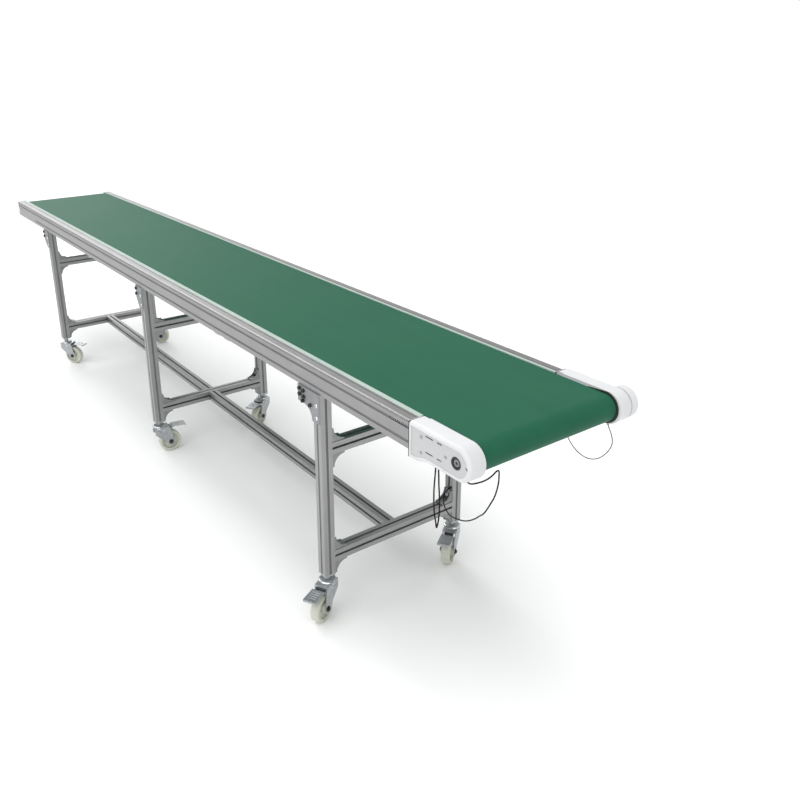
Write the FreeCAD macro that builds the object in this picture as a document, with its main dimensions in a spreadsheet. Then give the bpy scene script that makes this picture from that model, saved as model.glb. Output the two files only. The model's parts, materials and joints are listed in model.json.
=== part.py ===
import FreeCAD, Part
import math
import os

import Sketcher
from FreeCAD import Placement, Rotation, Vector

# A mobile belt conveyor: a slotted aluminium frame with a flat belt, on three H-shaped
# stands with braked swivel castors. +X runs to the drive end, +Y to the left side, +Z up.
# The origin lies on the floor under the middle of the machine. Sizes are in millimetres.

doc = FreeCAD.newDocument("BeltConveyor")
sheet = doc.addObject("Spreadsheet::Sheet", "Sizes")

SIZES = [
    ("roller_distance", 4020),
    ("bed_height", 880),
    ("tail_overhang", 52),
    ("tail_block_long", 380),
    ("rail_wide", 40),
    ("rail_tall", 80),
    ("rail_round", 8),
    ("rail_slot_pitch", 40),
    ("rebate_wide", 6),
    ("rebate_deep", 2),
    ("groove_in", 12),
    ("groove_wide", 2),
    ("groove_deep", 2),
    ("profile_size", 40),
    ("slot_open", 8),
    ("slot_lip", 4.5),
    ("slot_inside", 16),
    ("slot_shoulder", 2.5),
    ("slot_floor", 10),
    ("slot_depth", 12),
    ("belt_width", 484),
    ("belt_thick", 2),
    ("belt_gap", 1),
    ("roller_radius", 38),
    ("roller_fit", 0.1),
    ("shaft_radius", 10),
    ("shaft_fit", 0.08),
    ("shaft_cover", 10),
    ("guide_wide", 7),
    ("guide_flange", 3),
    ("guide_ridge", 5),
    ("guide_slope", 2),
    ("bed_sheet", 2),
    ("bed_end_gap", 25),
    ("tie_count", 5),
    ("housing_back", 182),
    ("housing_proud", 7),
    ("housing_lead", 6),
    ("housing_corner", 14),
    ("housing_overlap", 4),
    ("lip_back", 161),
    ("heel_drop", 12),
    ("heel_front", 100),
    ("heel_run", 60),
    ("cover_wide", 24),
    ("cover_proud", 6),
    ("cover_round", 9),
    ("panel_margin", 12),
    ("panel_depth", 2),
    ("slit_tall", 4),
    ("slit_deep", 3),
    ("slit_rise", 26),
    ("slit_fall", 18),
    ("long_slit_start", 115),
    ("long_slit_end", 85),
    ("short_slit_start", 71),
    ("short_slit_end", 52),
    ("seat_radius", 5.5),
    ("seat_back", 131),
    ("seat_below", 9),
    ("seat_near", 38),
    ("bearing_radius", 17),
    ("bearing_deep", 14),
    ("cap_radius", 46),
    ("cap_wide", 31),
    ("cap_round", 9),
    ("gasket_thick", 2),
    ("gasket_proud", 2),
    ("spindle_radius", 3.6),
    ("spindle_long", 80),
    ("return_radius", 12),
    ("return_pin", 5),
    ("return_side_gap", 3),
    ("return_plate", 4),
    ("return_plate_rim", 6),
    ("return_drop", 22),
    ("stand_inset", 590),
    ("stand_shift", 38),
    ("leg_bottom", 152),
    ("upper_bar_height", 610),
    ("lower_bar_height", 222),
    ("gusset_size", 46),
    ("gusset_deep", 36),
    ("gusset_wall", 5),
    ("gusset_cheek", 4),
    ("gusset_toe", 7),
    ("head_reach_drive", 80),
    ("head_reach_mid", 28),
    ("head_reach_tail", 40),
    ("head_drop", 97),
    ("head_straight", 55),
    ("head_plate", 5),
    ("head_flange", 8),
    ("head_set_back", 4),
    ("foot_plate", 6),
    ("nut_flat", 19),
    ("cup_radius", 28),
    ("cup_taper", 3),
    ("cup_top", 136),
    ("cup_tall", 8),
    ("stem_radius", 6),
    ("stem_fit", 0.08),
    ("swivel_gap", 0.6),
    ("rivet_head", 3),
    ("rivet_radius", 10),
    ("fork_top_thick", 5),
    ("fork_skirt", 32),
    ("fork_wall", 3),
    ("fork_inside", 44),
    ("fork_nose", 40),
    ("fork_heel", 26),
    ("fork_eye", 17),
    ("wheel_radius", 50),
    ("wheel_wide", 32),
    ("tread_round", 6),
    ("hub_wide", 43),
    ("hub_radius", 17),
    ("rim_inner", 38),
    ("web_thick", 12),
    ("axle_radius", 5),
    ("axle_fit", 0.08),
    ("axle_head", 3),
    ("castor_trail", 42),
    ("pedal_arm_wide", 30),
    ("pedal_wide", 46),
    ("pedal_thick", 3),
    ("pedal_drop", 13),
    ("pedal_out", 48),
    ("pedal_crest", 60),
    ("pedal_reach", 118),
    ("pedal_rise", 10),
    ("pedal_tip_drop", 2),
    ("pedal_lip", 8),
    ("pedal_pin", 3),
    ("cable_radius", 2),
    ("wire_radius", 1.5),
]
# Sizes that follow from the ones above and keep the machine together when those change.
FOLLOWING = [
    ("frame_width", "belt_width + 2 * belt_gap + 2 * guide_wide + 2 * rail_wide"),
    ("stand_spacing", "roller_distance / 2 - stand_inset"),
    ("return_spacing", "stand_spacing"),
    ("cover_seam", "frame_width / 2 + cover_proud - cover_wide"),
]
for row, (alias, value) in enumerate(SIZES + FOLLOWING, start=1):
    sheet.set(f"A{row}", alias)
    sheet.set(f"B{row}", str(value) if (alias, value) in SIZES else f"={value}")
    sheet.setAlias(f"B{row}", alias)
    doc.recompute()
ALIASES = {alias for alias, _ in SIZES + FOLLOWING}

# Levels and lines that several pieces share, as expressions in the sheet's words.
AXIS_X = "roller_distance / 2"
AXIS_Z = "( bed_height - belt_thick - roller_radius )"
RAIL_BOTTOM = "( bed_height - rail_tall )"
RAIL_END = "( roller_distance / 2 - housing_back - gasket_thick )"
BLOCK_FRONT = "( tail_block_long - tail_overhang - roller_distance / 2 )"
INSIDE = "( frame_width / 2 - rail_wide )"
OUTSIDE = "frame_width / 2"
LEG_Y = "( frame_width / 2 - profile_size / 2 )"
SLIDE_TOP = "( bed_height - belt_thick )"
FORK_TOP = "( cup_top - cup_tall - swivel_gap )"
LOWER_SLOT = "( rail_tall / 2 - rail_slot_pitch / 2 )"
UPPER_SLOT = "( rail_tall / 2 + rail_slot_pitch / 2 )"
LIP_FACE = "( frame_width / 2 - rail_wide - housing_overlap )"


def cell(text):
    """The same expression with every alias read from the sheet."""
    spaced = str(text).replace("(", " ( ").replace(")", " ) ")
    return " ".join(f"Sizes.{word}" if word in ALIASES else word for word in spaced.split())


def number(text):
    """The value of an expression."""
    return float(sheet.evalExpression(cell(text)))


def bind(thing, name, text):
    thing.setExpression(name, cell(text))


def new_body(label):
    body = doc.addObject("PartDesign::Body", label)
    body.Label = label
    return body


def put(thing, x="0", y="0", z="0", turn=0):
    """Places a sub-part; turn is in degrees about +Z."""
    thing.Placement = Placement(Vector(), Rotation(Vector(0, 0, 1), turn))
    for axis, text in (("x", x), ("y", y), ("z", z)):
        bind(thing, f"Placement.Base.{axis}", text)
    return thing


def blank_sketch(body, role, lift="0"):
    """A sketch on one of the body's own planes, lifted along the plane's normal."""
    sketch = body.newObject("Sketcher::SketchObject", "Sketch")
    origin_plane = next(f for f in body.Origin.OriginFeatures if f.Role == role)
    sketch.AttachmentSupport = [(origin_plane, "")]
    sketch.MapMode = "FlatFace"
    bind(sketch, "AttachmentOffset.Base.z", lift)
    return sketch


def add_loop(sketch, points):
    """Adds a closed outline. A point is (x, y), or (x, y, centre_x, centre_y, sense) where an
    arc arrives at it, sense 1 for anticlockwise. Each corner is held by driven distances."""
    spots = [Vector(number(p[0]), number(p[1]), 0) for p in points]
    first = sketch.GeometryCount
    shapes, ends = [], []
    for index, target in enumerate(points):
        start, stop = spots[index - 1], spots[index]
        if len(target) == 2:
            shapes.append(Part.LineSegment(start, stop))
            ends.append((1, 2))
            continue
        centre = Vector(number(target[2]), number(target[3]), 0)
        low, high = (start, stop) if target[4] > 0 else (stop, start)
        angles = [math.atan2(v.y - centre.y, v.x - centre.x) for v in (low, high)]
        circle = Part.Circle(centre, Vector(0, 0, 1), (start - centre).Length)
        shapes.append(Part.ArcOfCircle(circle, angles[0], angles[1]))
        ends.append((1, 2) if target[4] > 0 else (2, 1))
    sketch.addGeometry(shapes, False)
    rules, texts = [], []
    count = len(points)
    for index, target in enumerate(points):
        after = (index + 1) % count
        rules.append(
            Sketcher.Constraint("Coincident", first + index, ends[index][1], first + after, ends[after][0])
        )
        texts.append(None)
        hold = ["DistanceX", "DistanceY"]
        if len(target) == 5:
            centre = (number(target[2]), number(target[3]))
            arm = (spots[index].x - centre[0], spots[index].y - centre[1])
            hold = ["DistanceX"] if abs(arm[1]) > abs(arm[0]) else ["DistanceY"]
            for kind, text, value in zip(("DistanceX", "DistanceY"), target[2:4], centre):
                rules.append(Sketcher.Constraint(kind, -1, 1, first + index, 3, value))
                texts.append(text)
        for kind in hold:
            along = 0 if kind == "DistanceX" else 1
            value = spots[index][along]
            rules.append(Sketcher.Constraint(kind, -1, 1, first + index, ends[index][1], value))
            texts.append(target[along])
    base = sketch.ConstraintCount
    sketch.addConstraint(rules)
    for offset, text in enumerate(texts):
        if text is not None:
            bind(sketch, f"Constraints[{base + offset}]", text)
    return sketch


def add_circle(sketch, x, y, radius):
    centre = Vector(number(x), number(y), 0)
    index = sketch.addGeometry(Part.Circle(centre, Vector(0, 0, 1), number(radius)), False)
    base = sketch.ConstraintCount
    sketch.addConstraint([
        Sketcher.Constraint("DistanceX", -1, 1, index, 3, centre.x),
        Sketcher.Constraint("DistanceY", -1, 1, index, 3, centre.y),
        Sketcher.Constraint("Radius", index, number(radius)),
    ])
    for offset, text in enumerate((x, y, radius)):
        bind(sketch, f"Constraints[{base + offset}]", text)
    return sketch


def outline(body, role, points, lift="0"):
    return add_loop(blank_sketch(body, role, lift), points)


def pad(body, sketch, length, middle=False, back=False):
    feature = body.newObject("PartDesign::Pad", "Pad")
    feature.Profile = sketch
    bind(feature, "Length", length)
    feature.Midplane = middle
    feature.Reversed = back
    return feature


def pocket(body, sketch, length, middle=False, back=False):
    """Cuts the sketch out of the body and makes sure that something was cut."""
    doc.recompute()
    before = body.Shape.Volume
    feature = body.newObject("PartDesign::Pocket", "Pocket")
    feature.Profile = sketch
    bind(feature, "Length", length)
    feature.Midplane = middle
    feature.Reversed = back
    doc.recompute()
    if not body.Shape.Volume < before:
        raise ValueError(f"{body.Label}: a pocket cuts nothing")
    return feature


def revolve(body, sketch, axis="V_Axis"):
    feature = body.newObject("PartDesign::Revolution", "Revolution")
    feature.Profile = sketch
    feature.ReferenceAxis = (sketch, [axis])
    feature.Angle = 360
    return feature


def fillet(body, radius, wanted):
    """Rounds the edges of the body's tip that the test wanted(edge) picks."""
    doc.recompute()
    tip = body.Tip
    names = [f"Edge{n}" for n, edge in enumerate(tip.Shape.Edges, start=1) if wanted(edge)]
    if not names:
        raise ValueError(f"{body.Label}: no edge to round")
    feature = body.newObject("PartDesign::Fillet", "Fillet")
    feature.Base = (tip, names)
    bind(feature, "Radius", radius)
    return feature


def box_points(x0, x1, y0, y1):
    return [(x0, y0), (x1, y0), (x1, y1), (x0, y1)]


def minus(text):
    return f"-1 * ( {text} )"


SLOT_STEPS = [
    ("-1 * slot_open / 2", "0"),
    ("-1 * slot_open / 2", "slot_lip"),
    ("-1 * slot_inside / 2", "slot_lip"),
    ("-1 * slot_inside / 2", "slot_lip + slot_shoulder"),
    ("-1 * slot_floor / 2", "slot_depth"),
    ("slot_floor / 2", "slot_depth"),
    ("slot_inside / 2", "slot_lip + slot_shoulder"),
    ("slot_inside / 2", "slot_lip"),
    ("slot_open / 2", "slot_lip"),
    ("slot_open / 2", "0"),
]


def profile_points():
    """The outline of the square extrusion, with one slot in the middle of each face."""
    half = "profile_size / 2"
    points = []
    for turn in range(4):
        corner = (minus(half), minus(half))
        steps = [corner] + [(a, f"{b} - {half}") for a, b in SLOT_STEPS]
        for a, b in steps:
            for _ in range(turn):
                a, b = minus(b), a
            points.append((a, b))
    return points


def rail_points(side):
    """The outline of the side rail: two slots in each tall face, one below, a round shoulder at
    the outer top edge, and on top a fine groove and a rebate for the guide strip. side is 1 for
    left, where the outside is +Y."""
    wide, tall = "rail_wide", "rail_tall"
    middles = [LOWER_SLOT, UPPER_SLOT]
    points = [("0", "0")]
    points += [(f"{wide} / 2 + {a}", b) for a, b in SLOT_STEPS]
    points += [(wide, "0")]
    for middle in middles:
        points += [(f"{wide} - ( {b} )", f"{middle} + {a}") for a, b in SLOT_STEPS]
    points += [(wide, f"{tall} - rail_round")]
    points += [(f"{wide} - rail_round", tall, f"{wide} - rail_round", f"{tall} - rail_round", 1)]
    points += rail_top()
    for middle in reversed(middles):
        points += [(b, f"{middle} - ( {a} )") for a, b in SLOT_STEPS]
    return mirrored(points, side)


def rail_top():
    """The corners of the groove and the rebate, from outside to inside."""
    outer, inner = "( groove_in + groove_wide / 2 )", "( groove_in - groove_wide / 2 )"
    return [
        (outer, "rail_tall"),
        (outer, "rail_tall - groove_deep"),
        (inner, "rail_tall - groove_deep"),
        (inner, "rail_tall"),
        ("rebate_wide", "rail_tall"),
        ("rebate_wide", "rail_tall - rebate_deep"),
        ("0", "rail_tall - rebate_deep"),
    ]


def mirrored(points, side):
    """The outline itself, or its mirror image across the sketch's vertical axis."""
    if side > 0:
        return points
    return [
        (minus(p[0]), p[1]) if len(p) == 2 else (minus(p[0]), p[1], minus(p[2]), p[3], -p[4])
        for p in points
    ]


def side_rail(label, side):
    body = new_body(label)
    sketch = outline(body, "YZ_Plane", rail_points(side))
    pad(body, sketch, f"{RAIL_END} - {BLOCK_FRONT}")
    return put(body, BLOCK_FRONT, f"{side} * {INSIDE}", RAIL_BOTTOM)


def tail_block(label, side):
    """The block that ends the rail and carries the tail roller's shaft. Outside it has the
    rail's upper slot only."""
    body = new_body(label)
    points = [("0", "0"), ("rail_wide", "0")]
    points += [(f"rail_wide - ( {b} )", f"{UPPER_SLOT} + {a}") for a, b in SLOT_STEPS]
    points += [
        ("rail_wide", "rail_tall - rail_round"),
        ("rail_wide - rail_round", "rail_tall", "rail_wide - rail_round", "rail_tall - rail_round", 1),
    ]
    points += rail_top()
    pad(body, outline(body, "YZ_Plane", mirrored(points, side)), "tail_block_long")
    bore = blank_sketch(body, "XZ_Plane")
    add_circle(bore, "tail_overhang", f"{AXIS_Z} - {RAIL_BOTTOM}", "shaft_radius + shaft_fit")
    pocket(body, bore, "rail_wide", back=side < 0)
    return put(body, f"{BLOCK_FRONT} - tail_block_long", f"{side} * {INSIDE}", RAIL_BOTTOM)


def guide_strips():
    """Two plastic strips that keep the belt between the rails: a ridge on the bed's edge and a
    flange in the rail's rebate."""
    points = [
        (minus("guide_wide"), "0"),
        ("rebate_wide", "0"),
        ("rebate_wide", "guide_flange"),
        ("0", "guide_flange"),
        (minus("guide_slope"), "guide_ridge"),
        (minus("guide_wide"), "guide_ridge"),
    ]
    pieces = []
    for side in (1, -1):
        body = new_body("GuideStrip")
        sketch = outline(body, "YZ_Plane", mirrored(points, side))
        pad(body, sketch, f"{RAIL_END} + {AXIS_X} + tail_overhang")
        pieces.append(put(body, f"-1 * ( {AXIS_X} + tail_overhang )", f"{side} * {INSIDE}", SLIDE_TOP))
    return gathered("guide_strips", pieces)


def gathered(label, pieces):
    """One sub-part made of several like solids that do not touch."""
    group = doc.addObject("Part::Compound", label)
    group.Label = label
    group.Links = pieces
    return group


def bed_sheet(label, start, stop, half):
    """A flat sheet on which the upper run of the belt slides."""
    sheet_box = doc.addObject("Part::Box", label)
    sheet_box.Label = label
    bind(sheet_box, "Length", f"{stop} - {start}")
    bind(sheet_box, "Width", f"2 * {half}")
    bind(sheet_box, "Height", "bed_sheet")
    return put(sheet_box, start, minus(half), f"{SLIDE_TOP} - bed_sheet")


def bed_cross_ties():
    """Short profiles between the rails that hold them apart and carry the bed."""
    pieces = []
    for index in range(int(number("tie_count"))):
        body = new_body("CrossTie")
        pad(body, outline(body, "XZ_Plane", profile_points()), f"2 * {INSIDE}", middle=True)
        share = f"( {index} + 0.5 ) / tie_count"
        along = f"{BLOCK_FRONT} + ( {RAIL_END} - {BLOCK_FRONT} ) * {share}"
        pieces.append(put(body, along, "0", f"{SLIDE_TOP} - bed_sheet - profile_size / 2"))
    return gathered("bed_cross_ties", pieces)


def stadium(reach, radius):
    """The loop round both rollers, their axes at the sketch's height zero."""
    return [
        (reach, minus(radius)),
        (reach, radius, reach, "0", 1),
        (minus(reach), radius),
        (minus(reach), minus(radius), minus(reach), "0", 1),
    ]


def conveyor_belt():
    body = new_body("conveyor_belt")
    sketch = blank_sketch(body, "XZ_Plane")
    add_loop(sketch, stadium(AXIS_X, "( roller_radius + belt_thick )"))
    add_loop(sketch, stadium(AXIS_X, "roller_radius"))
    pad(body, sketch, "belt_width", middle=True)
    return put(body, "0", "0", AXIS_Z)


def roller(label, x, shaft_half):
    """A drum with its shaft ends, turned about the Y axis."""
    body = new_body(label)
    drum, half = "( roller_radius - roller_fit )", "belt_width / 2"
    points = [
        ("0", minus(shaft_half)),
        ("shaft_radius", minus(shaft_half)),
        ("shaft_radius", minus(half)),
        (drum, minus(half)),
        (drum, half),
        ("shaft_radius", half),
        ("shaft_radius", shaft_half),
        ("0", shaft_half),
    ]
    revolve(body, outline(body, "XY_Plane", points))
    return put(body, x, "0", AXIS_Z)


SAME_PLANE = 1e-6
HOUSING_RADIUS = "( rail_tall / 2 + housing_proud )"
HEEL_RADIUS = "( ( heel_run * heel_run + heel_drop * heel_drop ) / ( 4 * heel_drop ) )"


def housing_nose(radius, front):
    """The round front end, from the bottom line to the top line."""
    return [(front, minus(radius)), (front, radius, front, "0", 1)]


def housing_outline(margin="0"):
    """The end housing from the side: a round nose, a rounded corner at the rear top and a heel
    that swings down to the gasket's foot. The sketch's origin is on the roller's axis, and
    margin draws the outline inwards."""
    radius = f"( {HOUSING_RADIUS} - {margin} )"
    back = f"-1 * ( housing_back - {margin} )"
    sole = f"-1 * ( {radius} + heel_drop )"
    toe, heel = "-1 * heel_front", "-1 * ( heel_front + heel_run )"
    above = f"( {HEEL_RADIUS} - {HOUSING_RADIUS} - heel_drop )"
    below = f"( -1 * {HOUSING_RADIUS} - {HEEL_RADIUS} )"
    part = f"( {HEEL_RADIUS} + {margin} ) / ( 2 * {HEEL_RADIUS} )"
    turn_x = f"-1 * ( heel_front + heel_run * {part} )"
    turn_z = f"{below} + ( 2 * {HEEL_RADIUS} - heel_drop ) * {part}"
    corner = "-1 * ( housing_back - housing_corner )"
    shoulder = f"( {HOUSING_RADIUS} - housing_corner )"
    points = [
        (back, sole),
        (heel, sole),
        (turn_x, turn_z, heel, above, 1),
        (toe, minus(radius), toe, below, -1),
    ]
    points += housing_nose(radius, "housing_lead")
    return points + [(corner, radius), (back, shoulder, corner, shoulder, 1)]


def lip_outline():
    """The housing's thin inner lip beside the belt, which starts behind the guide strip."""
    radius = HOUSING_RADIUS
    corner, shoulder = "-1 * ( lip_back - housing_corner )", f"( {radius} - housing_corner )"
    low = "-1 * ( rail_tall / 2 )"
    points = [("-1 * lip_back", low), ("-1 * heel_front", low), ("-1 * heel_front", minus(radius))]
    points += housing_nose(radius, "housing_lead")
    return points + [(corner, radius), ("-1 * lip_back", shoulder, corner, shoulder, 1)]


def drive_housing(label, side):
    """The inner half of the end housing, which carries the drive roller's shaft."""
    body = new_body(label)
    wide = f"( cover_seam - {INSIDE} )"
    pad(body, outline(body, "XZ_Plane", housing_outline()), wide, back=side > 0)
    pad(body, outline(body, "XZ_Plane", lip_outline()), "housing_overlap", back=side < 0)
    bore = blank_sketch(body, "XZ_Plane")
    add_circle(bore, "0", "0", "shaft_radius + shaft_fit")
    pocket(body, bore, f"2 * {wide}", middle=True)
    return put(body, AXIS_X, f"{side} * {INSIDE}", AXIS_Z)


def slit_outline(start, stop, height):
    """A slit with round ends, between two distances behind the roller's axis."""
    half = "slit_tall / 2"
    rear, front = f"-1 * ( {start} - {half} )", f"-1 * ( {stop} + {half} )"
    low, high = f"{height} - {half}", f"{height} + {half}"
    return [
        (front, low),
        (front, high, front, height, 1),
        (rear, high),
        (rear, low, rear, height, 1),
    ]


def housing_cover(label, side, capped):
    """The outer half: a moulded cap with rounded rims, two rows of slits, screw seats and the
    bearing's seat. Where the motor's cap doesn't sit on it, its face is a sunk panel."""
    body = new_body(label)
    wide = f"( {OUTSIDE} + cover_proud - cover_seam )"
    sketch = outline(body, "XZ_Plane", housing_outline())
    pad(body, sketch, wide, back=side > 0)
    outer = side * number(wide)

    def outer_rim(edge):
        box = edge.BoundBox
        return box.YLength < SAME_PLANE and abs(box.YMin - outer) < SAME_PLANE

    fillet(body, "cover_round", outer_rim)
    face = minus(f"{side} * {wide}")
    depth = "0"
    if not capped:
        panel = outline(body, "XZ_Plane", housing_outline("panel_margin"), lift=face)
        pocket(body, panel, "panel_depth", back=side > 0)
        depth = "panel_depth"
    spans = [("long_slit_start", "long_slit_end"), ("short_slit_start", "short_slit_end")]
    for height in ("slit_rise", "-1 * slit_fall"):
        for start, stop in spans:
            slit = outline(body, "XZ_Plane", slit_outline(start, stop, height), lift=face)
            pocket(body, slit, f"{depth} + slit_deep", back=side > 0)
    seats = [("-1 * seat_back", "slit_rise - seat_below")]
    seats += [("-1 * seat_back", "-1 * ( slit_fall + seat_below )")]
    if not capped:
        seats += [("-1 * seat_near", "0"), ("seat_near", "0")]
    for x, z in seats:
        screw_seat = blank_sketch(body, "XZ_Plane", face)
        add_circle(screw_seat, x, z, "seat_radius")
        pocket(body, screw_seat, f"{depth} + slit_deep", back=side > 0)
    seat = blank_sketch(body, "XZ_Plane")
    add_circle(seat, "0", "0", "bearing_radius")
    pocket(body, seat, wide, back=side < 0)
    return put(body, AXIS_X, f"{side} * cover_seam", AXIS_Z)


def motor_cap():
    """The round cap on the left cover, over the end of the motor's shaft."""
    body = new_body("motor_cap")
    rim = "cap_radius - cap_round"
    points = [
        ("0", "0"),
        ("cap_radius", "0"),
        ("cap_radius", "cap_wide - cap_round"),
        (rim, "cap_wide", rim, "cap_wide - cap_round", 1),
        ("0", "cap_wide"),
    ]
    revolve(body, outline(body, "XY_Plane", points))
    return put(body, f"{AXIS_X} + housing_lead", f"{OUTSIDE} + cover_proud", AXIS_Z)


def ring(label, side):
    """The shaft's bearing in its seat in the cover."""
    body = new_body(label)
    points = [
        ("shaft_radius + shaft_fit", "0"),
        ("bearing_radius - roller_fit", "0"),
        ("bearing_radius - roller_fit", f"{side} * bearing_deep"),
        ("shaft_radius + shaft_fit", f"{side} * bearing_deep"),
    ]
    revolve(body, outline(body, "XY_Plane", points))
    return put(body, AXIS_X, f"{side} * cover_seam", AXIS_Z)


def end_gaskets():
    """The thin dark plates between the rails' ends and the housings."""
    pieces = []
    for side in (1, -1):
        plate = doc.addObject("Part::Box", "Gasket")
        wide = "rail_wide + gasket_proud"
        bind(plate, "Length", "gasket_thick")
        bind(plate, "Width", wide)
        foot = f"( {AXIS_Z} - {HOUSING_RADIUS} - heel_drop )"
        bind(plate, "Height", f"bed_height + gasket_proud - {foot}")
        near = INSIDE if side > 0 else f"-1 * ( {INSIDE} + {wide} )"
        pieces.append(put(plate, RAIL_END, near, foot))
    return gathered("end_gaskets", pieces)


def tension_spindles():
    """The threaded spindles that lie in the rails' upper slots at the drive end."""
    pieces = []
    for side in (1, -1):
        rod = doc.addObject("Part::Cylinder", "Spindle")
        bind(rod, "Radius", "spindle_radius")
        bind(rod, "Height", "spindle_long")
        rod.Placement = Placement(Vector(), Rotation(Vector(0, 1, 0), 90))
        bind(rod, "Placement.Base.x", f"{RAIL_END} - spindle_long")
        bind(rod, "Placement.Base.y", f"{side} * ( {OUTSIDE} - slot_lip )")
        bind(rod, "Placement.Base.z", f"{RAIL_BOTTOM} + {UPPER_SLOT}")
        pieces.append(rod)
    return gathered("tension_spindles", pieces)


RETURN_Z = f"( {AXIS_Z} - roller_radius - belt_thick - return_radius - roller_fit )"


def return_rollers():
    pieces = []
    for end in (1, -1):
        body = new_body("ReturnRoller")
        half, pin = f"( {INSIDE} - return_plate - return_side_gap )", INSIDE
        points = [
            ("0", minus(pin)),
            ("return_pin", minus(pin)),
            ("return_pin", minus(half)),
            ("return_radius", minus(half)),
            ("return_radius", half),
            ("return_pin", half),
            ("return_pin", pin),
            ("0", pin),
        ]
        revolve(body, outline(body, "XY_Plane", points))
        pieces.append(put(body, f"{end} * return_spacing / 2", "0", RETURN_Z))
    return gathered("return_rollers", pieces)


def return_brackets():
    """Angles under the rails whose hanging plates carry the return rollers' pins."""
    pieces = []
    for end in (1, -1):
        for side in (1, -1):
            body = new_body("ReturnBracket")
            hang = [
                ("0", "0"),
                ("0", "-1 * ( return_drop + return_radius )"),
                ("return_plate", "-1 * ( return_drop + return_radius )"),
                ("return_plate", "-1 * return_plate"),
                ("rail_wide", "-1 * return_plate"),
                ("rail_wide", "0"),
            ]
            sketch = outline(body, "YZ_Plane", mirrored(hang, side))
            pad(body, sketch, "2 * ( return_radius + return_plate_rim )", middle=True)
            bore = blank_sketch(body, "XZ_Plane")
            add_circle(bore, "0", f"{RETURN_Z} - {RAIL_BOTTOM}", "return_pin + shaft_fit")
            pocket(body, bore, "4 * return_plate", middle=True)
            pieces.append(put(body, f"{end} * return_spacing / 2", f"{side} * {INSIDE}", RAIL_BOTTOM))
    return gathered("return_roller_brackets", pieces)


def leg(label, x, side):
    body = new_body(label)
    foot = "( leg_bottom + foot_plate )"
    pad(body, outline(body, "XY_Plane", profile_points()), f"{RAIL_BOTTOM} - {foot}")
    return put(body, x, f"{side} * {LEG_Y}", foot)


def crossbar(x, height):
    body = new_body("Crossbar")
    length = "frame_width - 2 * profile_size"
    pad(body, outline(body, "XZ_Plane", profile_points()), length, middle=True)
    return put(body, x, "0", height)


def stringer(label, end):
    """The bar that joins two stands at half width, butted between their lower crossbars."""
    body = new_body(label)
    length = "stand_spacing - profile_size"
    pad(body, outline(body, "YZ_Plane", profile_points()), length, middle=True)
    return put(body, f"{end} * stand_spacing / 2 - stand_shift", "0", "lower_bar_height")


def gusset(x, side, height, above):
    """A die-cast corner bracket between a leg and a crossbar: two flanges joined by two hollowed
    cheeks, open on its long side."""
    body = new_body("Gusset")
    edge, toe = "gusset_size", "gusset_toe"
    bow = [
        ("0", "0"),
        (edge, "0"),
        (edge, toe),
        (toe, edge, edge, edge, -1),
        ("0", edge),
    ]
    pad(body, outline(body, "YZ_Plane", bow), "gusset_deep", middle=True)
    hollow = box_points("gusset_wall", f"2 * {edge}", "gusset_wall", f"2 * {edge}")
    pocket(body, outline(body, "YZ_Plane", hollow), "gusset_deep - 2 * gusset_cheek", middle=True)
    quarter = {(-1, 1): 0, (1, 1): 1, (1, -1): 2, (-1, -1): 3}[(side, above)]
    body.Placement = Placement(Vector(), Rotation(Vector(1, 0, 0), 90 * quarter))
    bind(body, "Placement.Base.x", x)
    bind(body, "Placement.Base.y", f"{side} * ( frame_width / 2 - profile_size )")
    bind(body, "Placement.Base.z", f"{height} + {above} * profile_size / 2")
    return body


def head_bracket(x, side, reach, hollowed):
    """The plate that hangs the rail on the leg's outer face. It reaches towards the tail, its
    lower corner either hollowed or cut straight, and has a flange under the rail."""
    body = new_body("HeadBracket")
    half = "profile_size / 2"
    bend = "( head_drop - head_straight )"
    hollow_x = f"-1 * ( {half} + {bend} )"
    far = f"-1 * ( {half} + {reach} )"
    points = [(half, "0"), (half, "-1 * head_drop"), (minus(half), "-1 * head_drop")]
    if hollowed:
        points.append((hollow_x, "-1 * head_straight", hollow_x, "-1 * head_drop", 1))
    points += [(far, "-1 * head_straight"), (far, "0")]
    pad(body, outline(body, "XZ_Plane", points), "head_plate", back=side > 0)
    flange = box_points(far, minus(half), "-1 * head_flange", "0")
    pad(body, outline(body, "XZ_Plane", flange), "rail_wide - head_set_back", back=side < 0)
    return put(body, x, f"{side} * {OUTSIDE}", RAIL_BOTTOM)


def castor_stem(x, side):
    """The leg's foot plate with the castor's nut, bearing cup and riveted stem below it."""
    body = new_body("CastorStem")
    half = "profile_size / 2"
    plate = box_points(minus(half), half, minus(half), half)
    pad(body, outline(body, "XY_Plane", plate, lift="leg_bottom"), "foot_plate")
    flat = "nut_flat / 2"
    corner = f"nut_flat * {1 / math.sqrt(3):.9f}"
    nut = [
        (corner, "0"),
        (f"{corner} / 2", flat),
        (f"{corner} / -2", flat),
        (minus(corner), "0"),
        (f"{corner} / -2", minus(flat)),
        (f"{corner} / 2", minus(flat)),
    ]
    pad(body, outline(body, "XY_Plane", nut, lift="cup_top"), "leg_bottom - cup_top")
    tip = f"( {FORK_TOP} - fork_top_thick - swivel_gap )"
    turned = [
        ("0", f"{tip} - rivet_head"),
        ("rivet_radius", f"{tip} - rivet_head"),
        ("rivet_radius", tip),
        ("stem_radius", tip),
        ("stem_radius", "cup_top - cup_tall"),
        ("cup_radius", "cup_top - cup_tall"),
        ("cup_radius - cup_taper", "cup_top"),
        ("0", "cup_top"),
    ]
    revolve(body, outline(body, "XZ_Plane", turned))
    return put(body, x, f"{side} * {LEG_Y}", "0")


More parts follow.
